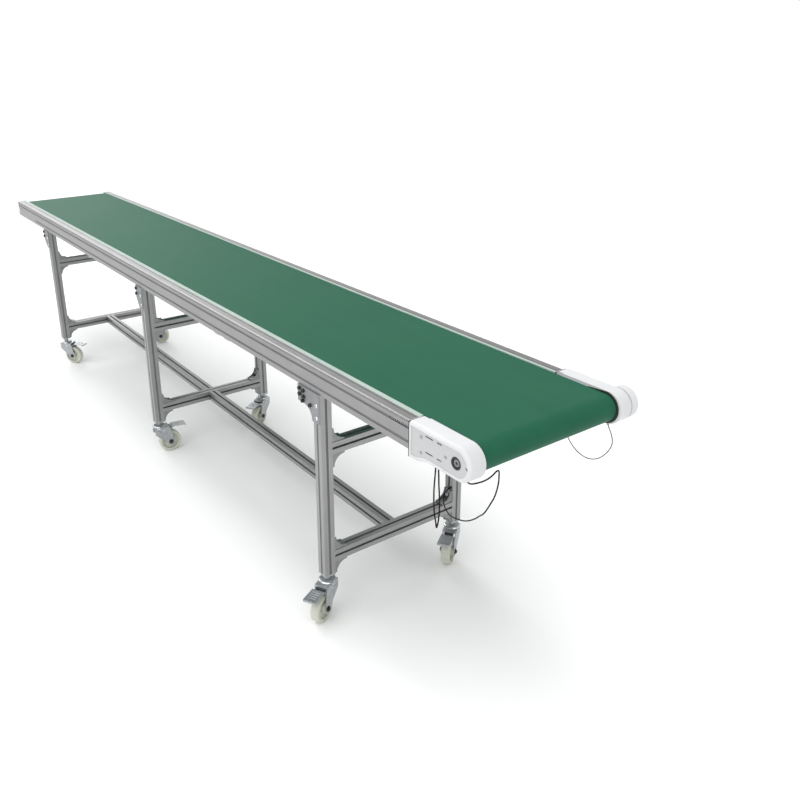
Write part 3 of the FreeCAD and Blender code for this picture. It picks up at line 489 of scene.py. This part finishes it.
def fixing_tree():
    """Sets a piece on every point, its Z along the point's facing, its X near the point's along."""
    tree = bpy.data.node_groups.new("fixings", "GeometryNodeTree")
    inputs = named_inputs(tree, [
        ("Geometry", "Geometry"), ("Piece", "Object"), ("Size", "Float"), ("Turn", "Float"),
        ("Seed", "Int"), ("Finish", "Material"),
    ])

    def node(kind, settings=(), **values):
        return geometry_node(tree, kind, settings, **values)

    vector = [("data_type", "FLOAT_VECTOR")]
    given = node("NodeGroupInput").outputs
    facing = node("GeometryNodeInputNamedAttribute", vector, Name="facing")
    along = node("GeometryNodeInputNamedAttribute", vector, Name="along")
    upright = node("FunctionNodeAlignRotationToVector", [("axis", "Z")], Vector=facing.outputs["Attribute"])
    level = node(
        "FunctionNodeAlignRotationToVector", [("axis", "X"), ("pivot_axis", "Z")],
        Rotation=upright.outputs["Rotation"], Vector=along.outputs["Attribute"],
    )
    chance = node("FunctionNodeRandomValue", [("data_type", "FLOAT")], Seed=given["Seed"])
    tree.links.new(given["Turn"], chance.inputs[3])
    spin = node("FunctionNodeAxisAngleToRotation", Axis=(0.0, 0.0, 1.0), Angle=chance.outputs[1])
    turn = node(
        "FunctionNodeRotateRotation", [("rotation_space", "LOCAL")],
        Rotation=level.outputs["Rotation"], Rotate_By=spin.outputs["Rotation"],
    )
    source = node("GeometryNodeObjectInfo", Object=given["Piece"])
    spread = node(
        "GeometryNodeInstanceOnPoints", Points=given["Geometry"], Instance=source.outputs["Geometry"],
        Rotation=turn.outputs["Rotation"], Scale=given["Size"],
    )
    real = node("GeometryNodeRealizeInstances", Geometry=spread.outputs["Instances"])
    painted = node("GeometryNodeSetMaterial", Geometry=real.outputs["Geometry"], Material=given["Finish"])
    node("NodeGroupOutput", Geometry=painted.outputs["Geometry"])
    return tree, inputs


FIXINGS, FIXING_INPUTS = fixing_tree()


def grown(obj, tree, inputs, values):
    """The plain mesh that the tree makes on the object, which keeps no modifier."""
    modifier = obj.modifiers.new(tree.name, "NODES")
    modifier.node_group = tree
    for label, value in values.items():
        modifier[inputs[label]] = value
    made = bpy.data.meshes.new_from_object(obj.evaluated_get(bpy.context.evaluated_depsgraph_get()))
    obj.modifiers.clear()
    return made


def shaded(mesh, angle=35.0):
    """Smooth, except over edges sharper than the angle."""
    mesh.shade_smooth()
    mesh.set_sharp_from_angle(angle=math.radians(angle))


# The direction that every fixing's X turns towards before its own random turn.
SLANTED = (0.3, 0.4, 0.5)


def fixed(name, piece, spots, finish, body="root", seed=1):
    """One mesh of the piece on every spot; a spot is (place, facing)."""
    mesh = bpy.data.meshes.new(name)
    mesh.from_pydata([place for place, _ in spots], [], [])
    facings = [facing for _, facing in spots]
    for label, vectors in (("facing", facings), ("along", [SLANTED] * len(spots))):
        layer = mesh.attributes.new(label, "FLOAT_VECTOR", "POINT")
        layer.data.foreach_set("vector", [value for vector in vectors for value in vector])
    holder = in_scene(name, mesh)
    values = {"Piece": piece, "Size": 1.0, "Turn": 2.0 * math.pi, "Seed": seed, "Finish": finish}
    holder.data = grown(holder, FIXINGS, FIXING_INPUTS, values)
    shaded(holder.data)
    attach(holder, body)


CAP_M8 = cap_screw("cap_screw_m8", 6.5, 6.0, 3.0)
BUTTON_M8 = button_screw("button_screw_m8", 7.0, 4.2, 2.5)
CAP_M6 = cap_screw("cap_screw_m6", 5.0, 4.5, 2.5)
BUTTON_M5 = button_screw("button_screw_m5", 4.2, 2.0, 1.5)
NUT_M8 = hex_nut("nut_m8", 13.0, 6.0, 4.6)

# The thickness of a gusset's flanges, and how far its screws are from its corner.
GUSSET_FLANGE = 0.005
GUSSET_SCREW = 0.0255


def gusset_screws():
    """The screws through both flanges of every corner gusset."""
    spots = []
    for stand in STANDS:
        low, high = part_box(f"leg_{stand}_right")
        x, inner = middle(low, high, 0), abs(high[1])
        for bars in ("upper_crossbars", "lower_crossbars"):
            bottom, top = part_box(bars)
            for side, _ in SIDES:
                for level, above in ((top[2], 1), (bottom[2], -1)):
                    on_leg = (x, side * (inner - GUSSET_FLANGE), level + above * GUSSET_SCREW)
                    on_bar = (x, side * (inner - GUSSET_SCREW), level + above * GUSSET_FLANGE)
                    spots += [(on_leg, (0, -side, 0)), (on_bar, (0, 0, above))]
    fixed("gusset_screws", CAP_M8, spots, BRIGHT)


# How far each stand's head bracket reaches from the leg towards the tail, and the bolts through it,
# as (from its far edge, up from its top) in millimetres.
HEAD_REACH = {"drive": 0.080, "mid": 0.028, "tail": 0.040}
LARGE_BRACKET_BOLTS = [(12, -11), (33, -14), (13, -30), (34, -33), (29, -48), (71, -49)]
SMALL_BRACKET_BOLTS = [(11, -12), (11, -36)]
BRACKET_PLATE = 0.005
BRACKET_FLANGE = 0.008
# The bolts under the flange, from the plate's face; the leg's screws, off its middle and down.
FLANGE_BOLT_IN = 0.021
LEG_SCREW_SHIFT = 0.006
LEG_SCREW_DROPS = (0.039, 0.080)


def head_bracket_bolts():
    """The bright screws into the legs, and the dark bolts through the brackets and up into the
    rails."""
    bright, dark = [], []
    for stand in STANDS:
        low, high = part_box(f"leg_{stand}_right")
        x, top = middle(low, high, 0) + LEG_SCREW_SHIFT, high[2]
        face = abs(low[1]) + BRACKET_PLATE
        reach = HEAD_REACH[stand]
        edge = low[0] - reach
        large = stand == "drive"
        for side, _ in SIDES:
            for drop in LEG_SCREW_DROPS:
                bright.append(((x, side * face, top - drop), (0, side, 0)))
            for along, rise in LARGE_BRACKET_BOLTS if large else SMALL_BRACKET_BOLTS:
                dark.append(((edge + along / 1000.0, side * face, top + rise / 1000.0), (0, side, 0)))
            for share in (0.25, 0.75) if large else (0.5,):
                under = (edge + share * reach, side * (face - FLANGE_BOLT_IN), top - BRACKET_FLANGE)
                dark.append((under, (0, 0, -1)))
    fixed("bracket_screws_bright", BUTTON_M8, bright, BRIGHT, seed=2)
    fixed("bracket_screws_dark", CAP_M8, dark, BURNISHED, seed=3)


# A return roller's bracket: half its length, its thickness, and its screws, off its middle and in
# from the rail's outer face.
RETURN_HALF = 0.018
RETURN_PLATE = 0.004
RETURN_SCREW_OFF = 0.010
RETURN_SCREW_IN = 0.014


def return_bracket_screws():
    """A pair of screws in the shelf of each return roller bracket."""
    spots = []
    low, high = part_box("return_roller_brackets")
    out, under = abs(low[1]) - RETURN_SCREW_IN, high[2] - RETURN_PLATE
    for x in (low[0] + RETURN_HALF, high[0] - RETURN_HALF):
        for side, _ in SIDES:
            for way in (-1, 1):
                spots.append(((x + way * RETURN_SCREW_OFF, side * out, under), (0, 0, -1)))
    fixed("return_bracket_screws", CAP_M6, spots, BRIGHT, seed=4)


def tail_shaft_nuts():
    """The nuts on the tail roller's shaft, outside the tail blocks."""
    tail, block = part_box("tail_roller"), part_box("tail_block_right")
    face = abs(block[0][1])
    ends = [((middle(*tail, 0), side * face, middle(*tail, 2)), (0, side, 0)) for side, _ in SIDES]
    fixed("tail_shaft_nuts", hex_nut("shaft_nut", 19.0, 8.0, 6.5), ends, BRIGHT, seed=6)


# ------------------------------------------------------------ drive-end housings

# The slits and screw seats are cut to one depth, into the left cover's face and the right one's
# sunk panel. Their places are (along, up) from the drive roller's axis.
RECESS_DEPTH = 0.003
RECESS_FLOORS = ((-1, PANEL_FACE - RECESS_DEPTH), (1, COVER_FACE - RECESS_DEPTH))
COVER_SCREWS = [(-0.131, 0.017), (-0.131, -0.027)]
RIGHT_SCREWS = [(-0.038, 0.0), (0.038, 0.0)]
LONG_SLIT = (-0.115, -0.085)
SHORT_SLIT = (-0.071, -0.052)
SLIT_LEVELS = (0.026, -0.018)
# A black strip of painted shadow lies a little above its slit's middle and stops short of both ends.
SHADOW_STRIP_LIFT = 0.0004
SHADOW_STRIP_SHORT = 0.0005
# Sections in millimetres, as (down from the slit's middle, out from its floor).
SLIT_SHADOW_STRIP = [(-2.2, -0.2), (2.2, -0.2), (2.2, 1.6), (1.7, 2.0), (-1.7, 2.0), (-2.2, 1.6)]
SLIT_LIP = [(2.3, -0.3), (2.4, 1.4), (2.8, 1.9), (3.8, 1.8), (11.4, 0.3), (11.4, -0.3)]


def drive_axis():
    """The drive roller's axis, as (along, up)."""
    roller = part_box("drive_roller")
    return middle(*roller, 0), middle(*roller, 2)


def cover_trim():
    """Screws in the covers, black strips of painted shadow in their slits, and a lip under the long slits.
    """
    x, z = drive_axis()
    screws, slits, lips = [], [], []
    for side, face in RECESS_FLOORS:
        for along, up in COVER_SCREWS + (RIGHT_SCREWS if side < 0 else []):
            screws.append(((x + along, side * face, z + up), (0, side, 0)))
        for rise in SLIT_LEVELS:
            for slit in (LONG_SLIT, SHORT_SLIT):
                back, front = x + slit[0] + SHADOW_STRIP_SHORT, x + slit[1] - SHADOW_STRIP_SHORT
                ends = [(place, side * face, z + rise + SHADOW_STRIP_LIFT) for place in (back, front)]
                run = (*ends[::-side], (0, side, 0))
                slits.append(run)
                if slit == LONG_SLIT:
                    lips.append(run)
    fixed("cover_screws", BUTTON_M5, screws, ZINC, seed=7)
    # The black strips stand in for the shadow inside the slits: painted shadow.
    drawn("slit_grilles", SLIT_SHADOW_STRIP, slits, BLACK)
    drawn("slit_lips", SLIT_LIP, lips, WHITE)


def drive_shaft_end():
    """The black ring round the drive roller's shaft on the right, and the shaft's socketed end."""
    x, z = drive_axis()
    spot = [((x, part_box("shaft_bearing_right")[0][1], z), (0, -1, 0))]
    ring = ring_of("black_ring", [
        (10.6, -0.2), (16.8, -0.2), (16.8, 8.6), (16.2, 9.4), (14.6, 9.6), (13.4, 9.0), (12.4, 7.4),
        (10.6, 6.8),
    ])
    fixed("shaft_ring", ring, spot, BLACK)
    shaft = turned("shaft_stub", [
        (10.2, -0.2), (10.2, 5.6), (9.2, 6.6), (5.2, 6.6), (4.0, 6.1, "hex"), (4.0, 2.0, "hex"), (1.0, 1.0),
    ], 36)
    fixed("shaft_end", shaft, spot, CAST)


# The radius of the cap's circle of screws, and how many it has.
CAP_CIRCLE = 0.027
CAP_SCREWS = 3


def motor_cap_screws():
    """Screws on a circle in the motor's round cap, the first one on top."""
    low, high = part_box("motor_cap")
    x, z = middle(low, high, 0), middle(low, high, 2)
    spots = []
    for step in range(CAP_SCREWS):
        angle = math.radians(90 + 360 / CAP_SCREWS * step)
        place = (x + CAP_CIRCLE * math.cos(angle), high[1], z + CAP_CIRCLE * math.sin(angle))
        spots.append((place, (0, 1, 0)))
    fixed("motor_cap_screws", BUTTON_M5, spots, ZINC, seed=8)


# ------------------------------------------------------------ castors' details

def castor_frames():
    """Each castor's tag, swivel centre, and unit directions along and across its trail."""
    for stand in STANDS:
        for _, side_name in SIDES:
            tag = f"{stand}_{side_name}"
            swivel, axle = JOINTS[f"castor_swivel_{tag}"]["pos_m"], JOINTS[f"wheel_spin_{tag}"]["pos_m"]
            centre = Vector((swivel[0], swivel[1], 0.0))
            ahead = Vector((axle[0] - swivel[0], axle[1] - swivel[1], 0.0)).normalized()
            yield tag, centre, ahead, Vector((-ahead.y, ahead.x, 0.0))


# Places on a castor in millimetres: along its trail, across it, and above the floor.
AXLE_END = (42, 25, 50)
BARREL_PLACE = (43.6, 0, 118.8)
PEDAL_PIN = (13, 25, 112.9)
RACE_LEVEL = 125.0
CUP_LEVEL = 131.6
# The grip bars lie on the pedal's tread, which falls from its crest towards its tip.
GRIP_PLACES = (72, 82, 92, 102)
TREAD_CREST = 60
CREST_LEVEL = 124.4
TREAD_FALL = 2.0 / 58.0


def castor_trim():
    """On each castor the ball race, axle nuts, and the brake's barrel, pins and grip bars; over
    it the dust ring on the fixed cup."""
    race = ring_of("swivel_race", [
        (27.6, -2.4), (28.8, -2.0), (29.6, -0.8), (29.6, 0.8), (28.8, 1.9), (27.6, 2.3),
    ], 48)
    dust = ring_of("dust_ring", [
        (26.4, -2.6), (29.0, -2.4), (29.8, -1.0), (29.4, 0.6), (27.6, 2.0), (25.6, 3.2), (24.6, 3.2),
    ], 48)
    barrel = turned("brake_barrel", [
        (2.2, -15.5), (3.2, -15.5), (4.2, -14.6), (4.2, -10.5), (3.4, -10.0), (3.4, 10.0), (4.2, 10.5),
        (4.2, 14.6), (3.2, 15.5), (2.2, 15.5),
    ])
    bar = turned("grip_bar", [(0.9, -15.0), (1.3, -14.4), (1.3, 14.4), (0.9, 15.0)], 10)
    cam = turned("brake_cam", [(4.6, -0.2), (4.6, 1.6), (4.0, 2.2), (2.2, 2.4), (1.0, 2.4)])
    upward = (0, 0, 1)
    cups = []
    for tag, centre, ahead, across in castor_frames():

        def at(along, sideways, height):
            place = centre + ahead * (along / 1000.0) + across * (sideways / 1000.0)
            return tuple(place + Vector((0.0, 0.0, height / 1000.0)))

        def both_sides(along, sideways, height):
            return [(at(along, side * sideways, height), tuple(side * across)) for side, _ in SIDES]

        body, crosswise = f"castor_{tag}", tuple(across)
        cups.append((at(0, 0, CUP_LEVEL), upward))
        race_spot = [(at(0, 0, RACE_LEVEL), upward)]
        barrel_spot = [(at(*BARREL_PLACE), crosswise)]
        grips = []
        for along in GRIP_PLACES:
            height = CREST_LEVEL - (along - TREAD_CREST) * TREAD_FALL
            grips.append((at(along, 0, height), crosswise))
        fixed(f"swivel_race_{tag}", race, race_spot, BRIGHT, body)
        fixed(f"axle_nuts_{tag}", NUT_M8, both_sides(*AXLE_END), BURNISHED, body, seed=11)
        fixed(f"brake_barrel_{tag}", barrel, barrel_spot, BURNISHED, body)
        fixed(f"pedal_pins_{tag}", cam, both_sides(*PEDAL_PIN), BRIGHT, body)
        fixed(f"pedal_grips_{tag}", bar, grips, ZINC, body)
    fixed("dust_rings", dust, cups, BRIGHT)


# ------------------------------------------------ strips, painted gap shade, springs, glands

def strung(name, bars, finish, smooth=False):
    """One mesh of closed bars. Each bar is a list of rows, and each row is a loop of places."""
    mesh = bmesh.new()
    for bar in bars:
        rows = [[mesh.verts.new(place) for place in row] for row in bar]
        count = len(rows[0])
        for before, after in zip(rows, rows[1:]):
            for step in range(count):
                following = (step + 1) % count
                mesh.faces.new((before[step], before[following], after[following], after[step]))
        mesh.faces.new(list(reversed(rows[0])))
        mesh.faces.new(rows[-1])
    bmesh.ops.recalc_face_normals(mesh, faces=mesh.faces)
    data = bpy.data.meshes.new(name)
    mesh.to_mesh(data)
    mesh.free()
    data.materials.append(finish)
    if smooth:
        shaded(data)
    obj = in_scene(name, data)
    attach(obj, "root")


def drawn(name, section, runs, finish):
    """Straight strips of one section. A run is (start, end, out): the section's first number goes
    across, its second along out. Sizes of the section in millimetres, places in metres."""
    bars = []
    for start, end, out in runs:
        start, end, out = Vector(start), Vector(end), Vector(out)
        across = (end - start).normalized().cross(out)
        offsets = [across * (a / 1000.0) + out * (b / 1000.0) for a, b in section]
        bars.append([[place + offset for offset in offsets] for place in (start, end)])
    strung(name, bars, finish)


STRIP_SECTION = [
    (-3.8, -3.4), (3.8, -3.4), (3.8, -1.5), (3.4, -1.1), (0.5, -1.1), (0.2, -1.4), (-0.2, -1.4),
    (-0.5, -1.1), (-3.4, -1.1), (-3.8, -1.5),
]
# How far a strip stops short of its bar's end, of a head bracket and of a tension spindle, and how
# high a rail's two slots are above its underside.
STRIP_END = 0.001
BRACKET_CLEAR = 0.002
SPINDLE_CLEAR = 0.003
RAIL_SLOTS = (0.020, 0.060)


def slot_strips():
    """The plastic strips pressed into the open slots of the legs and rails."""
    runs = []
    under_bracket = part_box("leg_head_brackets")[0][2] - BRACKET_CLEAR
    for stand in STANDS:
        for side, side_name in SIDES:
            low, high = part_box(f"leg_{stand}_{side_name}")
            x, y = middle(low, high, 0), middle(low, high, 1)
            foot, head = low[2] + STRIP_END, high[2] - STRIP_END
            for way, face in ((-1, low[0]), (1, high[0])):
                runs.append(((face, y, foot), (face, y, head), (way, 0, 0)))
            outside = low[1] if side < 0 else high[1]
            runs.append(((x, outside, foot), (x, outside, under_bracket), (0, side, 0)))
    low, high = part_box("side_rail_right")
    start, end = low[0] + STRIP_END, high[0] - STRIP_END
    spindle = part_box("tension_spindles")[0][0] - SPINDLE_CLEAR
    block_start, block_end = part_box("tail_block_right")[0][0] + STRIP_END, low[0] - STRIP_END
    lower, upper = RAIL_SLOTS
    stretches = ((lower, start, end), (upper, start, spindle), (upper, block_start, block_end))
    for side, _ in SIDES:
        for level, first, last in stretches:
            y, z = side * abs(low[1]), low[2] + level
            runs.append(((first, y, z), (last, y, z), (0, side, 0)))
    drawn("slot_strips", STRIP_SECTION, runs, SLOT_PLASTIC)


# The black strip beside the belt, painted shade in the gap between the belt and the housing: its edges'
# distances from the roller's axis, its sides' from the machine's middle with the bevel between, and how far
# it runs back above and below.
GAP_SHADE_INSIDE, GAP_SHADE_THIN, GAP_SHADE_WIDE = 0.0384, 0.0402, 0.0458
GAP_SHADE_NEAR, GAP_SHADE_FAR, GAP_SHADE_BEVEL = 0.2430, 0.2458, 0.0006
GAP_SHADE_LEAD, GAP_SHADE_TAIL = 0.062, 0.040
GAP_SHADE_LEAD_STEPS = 8
GAP_SHADE_TURN_STEPS = 36


def belt_gap_shades():
    """Black strips on the drive housings' inner walls, round the belt's edges at the nose, painted as the
    shade in the gap between belt and housing. They widen along the top, then follow the roller round to the
    underside."""
    centre, level = drive_axis()
    line = []
    for step in range(GAP_SHADE_LEAD_STEPS + 1):
        share = step / GAP_SHADE_LEAD_STEPS
        edge = GAP_SHADE_THIN + (GAP_SHADE_WIDE - GAP_SHADE_THIN) * share
        line.append((centre - GAP_SHADE_LEAD * (1.0 - share), 0.0, 1.0, edge))
    for step in range(1, GAP_SHADE_TURN_STEPS + 1):
        angle = math.radians(90 - 180 * step / GAP_SHADE_TURN_STEPS)
        line.append((centre, math.cos(angle), math.sin(angle), GAP_SHADE_WIDE))
    line.append((centre - GAP_SHADE_TAIL, 0.0, -1.0, GAP_SHADE_WIDE))
    bars = []
    for side, _ in SIDES:
        rows = []
        for x, out_x, out_z, edge in line:
            section = [
                (GAP_SHADE_INSIDE, GAP_SHADE_NEAR), (edge - GAP_SHADE_BEVEL, GAP_SHADE_NEAR), (edge, GAP_SHADE_NEAR + GAP_SHADE_BEVEL),
                (edge, GAP_SHADE_FAR), (GAP_SHADE_INSIDE, GAP_SHADE_FAR),
            ]
            rows.append([(x + out_x * r, side * y, level + out_z * r) for r, y in section])
        bars.append(rows)
    strung("belt_edge_seals", bars, GAP_SHADE_BLACK, smooth=True)


def spring_tree():
    """A coil spring along +X from the point of its object."""
    tree = bpy.data.node_groups.new("coil_spring", "GeometryNodeTree")
    inputs = named_inputs(tree, [
        ("Length", "Float"), ("Radius", "Float"), ("Turns", "Float"), ("Wire", "Float"),
        ("Finish", "Material"),
    ])

    def node(kind, **values):
        return geometry_node(tree, kind, **values)

    given = node("NodeGroupInput").outputs
    coil = node(
        "GeometryNodeCurveSpiral", Resolution=18, Rotations=given["Turns"], Start_Radius=given["Radius"],
        End_Radius=given["Radius"], Height=given["Length"],
    )
    wire = node("GeometryNodeCurvePrimitiveCircle", Resolution=8, Radius=given["Wire"])
    tube = node(
        "GeometryNodeCurveToMesh", Curve=coil.outputs["Curve"], Profile_Curve=wire.outputs["Curve"],
        Fill_Caps=True,
    )
    laid = node("GeometryNodeTransform", Geometry=tube.outputs["Mesh"], Rotation=(0.0, math.pi / 2.0, 0.0))
    real = node("GeometryNodeRealizeInstances", Geometry=laid.outputs["Geometry"])
    painted = node("GeometryNodeSetMaterial", Geometry=real.outputs["Geometry"], Material=given["Finish"])
    node("NodeGroupOutput", Geometry=painted.outputs["Geometry"])
    return tree, inputs


# How far the spring stays from the spindle's ends, its turns, and its radius and its wire's.
SPRING_END = 0.001
SPRING_TURNS = 10.0
SPRING_RADIUS = 0.0031
SPRING_WIRE = 0.0009


def spindle_springs():
    """The bright springs on the tension spindles, seen in the rails' upper slots."""
    tree, inputs = spring_tree()
    low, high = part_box("tension_spindles")
    level, reach = middle(low, high, 2), abs(low[1]) - (high[2] - low[2]) / 2.0
    values = {
        "Length": high[0] - low[0] - 2.0 * SPRING_END, "Radius": SPRING_RADIUS, "Turns": SPRING_TURNS,
        "Wire": SPRING_WIRE, "Finish": SPRING,
    }
    for side, side_name in SIDES:
        spring = in_scene(f"spindle_spring_{side_name}", bpy.data.meshes.new("spring"))
        coil = grown(spring, tree, inputs, values)
        coil.transform(Matrix.Translation((low[0] + SPRING_END, side * reach, level)))
        coil.shade_smooth()
        spring.data = coil
        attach(spring, "root")


def cable_glands():
    """Tapered strain reliefs where the cables leave the housings and enter the leg."""
    relief = turned("strain_relief", [
        (4.6, -0.2), (4.8, 0.6), (4.4, 1.6), (3.8, 2.0), (4.1, 2.8), (3.6, 3.6), (3.3, 4.0), (3.6, 4.8),
        (3.1, 5.6), (2.9, 6.0), (3.1, 6.8), (2.6, 7.8), (2.1, 8.0),
    ])
    down = (0, 0, -1)
    thick = [(mm(*end), down) for end in (RIGHT_LOOP[0], RIGHT_LOOP[-1], SLACK_CABLE[0])]
    thick.append((mm(*SLACK_CABLE[-1]), (0, -1, 0)))
    fixed("cable_glands", relief, thick, BLACK)
    thin = [(mm(*end), down) for end in (LEFT_LOOP[0], LEFT_LOOP[-1])]
    fixed("wire_glands", relief, thin, BLACK)


gusset_screws()
head_bracket_bolts()
return_bracket_screws()
tail_shaft_nuts()
cover_trim()
drive_shaft_end()
motor_cap_screws()
castor_trim()
slot_strips()
belt_gap_shades()
spindle_springs()
cable_glands()


# --------------------------------------------------------- floor, light, camera

FLOOR_REACH = 30.0
ROOM_LIGHT = 0.62
# A wide lamp's way, strength and spread in degrees; the soft lamp's place, target, size and power.
OVERHEAD = ((-0.15, 0.30, -1.0), 1.94, 70.0)
FROM_THE_TAIL = ((0.84, -0.08, -0.53), 0.9, 36.0)
FRONT = ((2.5, -4.5, 2.6), (0.6, 0.0, 0.6), (3.0, 2.0), 25.0)


def make_floor():
    """A wide pale floor."""
    mesh = bpy.data.meshes.new("studio_floor")
    corners = [(x * FLOOR_REACH, y * FLOOR_REACH, 0.0) for x, y in ((-1, -1), (1, -1), (1, 1), (-1, 1))]
    mesh.from_pydata(corners, [], [(0, 1, 2, 3)])
    floor = in_scene("studio_floor", mesh)
    finish = Finish("pale_floor")
    cloud = finish.noise(0.8, 2.0, 0.5)
    colour = finish.ramp(cloud, [(0.3, grey(0.93)), (0.7, grey(0.95))])
    mesh.materials.append(finish.use(Base_Color=colour, Roughness=cloud * 0.1 + 0.7))


def soft_light(name, place, target, size, power):
    """A rectangular lamp that faces the target."""
    lamp = bpy.data.lights.new(name, "AREA")
    lamp.shape = "RECTANGLE"
    lamp.size, lamp.size_y = size
    lamp.energy = power
    holder = in_scene(name, lamp)
    holder.location = place
    holder.rotation_euler = (Vector(target) - Vector(place)).to_track_quat("-Z", "Y").to_euler()


def wide_light(name, way, strength, spread):
    """A far lamp with soft shadows."""
    lamp = bpy.data.lights.new(name, "SUN")
    lamp.energy = strength
    lamp.angle = math.radians(spread)
    in_scene(name, lamp).rotation_euler = Vector(way).to_track_quat("-Z", "Y").to_euler()


def make_studio():
    """A white room, dimmer as a light than it looks, with two wide lamps and one soft one."""
    make_floor()
    world = bpy.data.worlds.new("studio")
    bpy.context.scene.world = world
    world.use_nodes = True
    nodes, links = world.node_tree.nodes, world.node_tree.links
    background = nodes["Background"]
    background.inputs["Color"].default_value = (1.0, 1.0, 1.0, 1.0)
    seen = nodes.new("ShaderNodeLightPath").outputs["Is Camera Ray"]
    strength = nodes.new("ShaderNodeMapRange")
    strength.inputs["To Min"].default_value = ROOM_LIGHT
    links.new(seen, strength.inputs["Value"])
    links.new(strength.outputs["Result"], background.inputs["Strength"])
    wide_light("overhead", *OVERHEAD)
    wide_light("from_the_tail", *FROM_THE_TAIL)
    soft_light("front", *FRONT)


# Angles in degrees, the lens and the sensor in millimetres, the shift in widths of the sensor.
CAMERA_PLACE = (3.2945, -1.4681, 1.7850)
CAMERA_AZIMUTH = 55.11
CAMERA_ELEVATION = 20.12
CAMERA_ROLL = -0.76
CAMERA_LENS = 36.65
CAMERA_SENSOR = 36.0
CAMERA_SHIFT = (0.0519, -0.0756)


def make_camera():
    """The camera, aimed by azimuth and elevation, then rolled."""
    turn, rise = math.radians(CAMERA_AZIMUTH), math.radians(CAMERA_ELEVATION)
    back = Vector((math.sin(turn) * math.cos(rise), -math.cos(turn) * math.cos(rise), math.sin(rise)))
    right = Vector((0.0, 0.0, 1.0)).cross(back).normalized()
    up = back.cross(right)
    roll = math.radians(CAMERA_ROLL)
    rolled_right = right * math.cos(roll) + up * math.sin(roll)
    rolled_up = up * math.cos(roll) - right * math.sin(roll)
    camera = in_scene("camera", bpy.data.cameras.new("camera"))
    axes = Matrix((rolled_right, rolled_up, back)).transposed()
    camera.matrix_world = Matrix.Translation(CAMERA_PLACE) @ axes.to_4x4()
    camera.data.sensor_width = CAMERA_SENSOR
    camera.data.lens = CAMERA_LENS
    camera.data.shift_x, camera.data.shift_y = CAMERA_SHIFT
    bpy.context.scene.camera = camera


make_studio()
make_camera()
bpy.context.scene.view_settings.view_transform = "Standard"
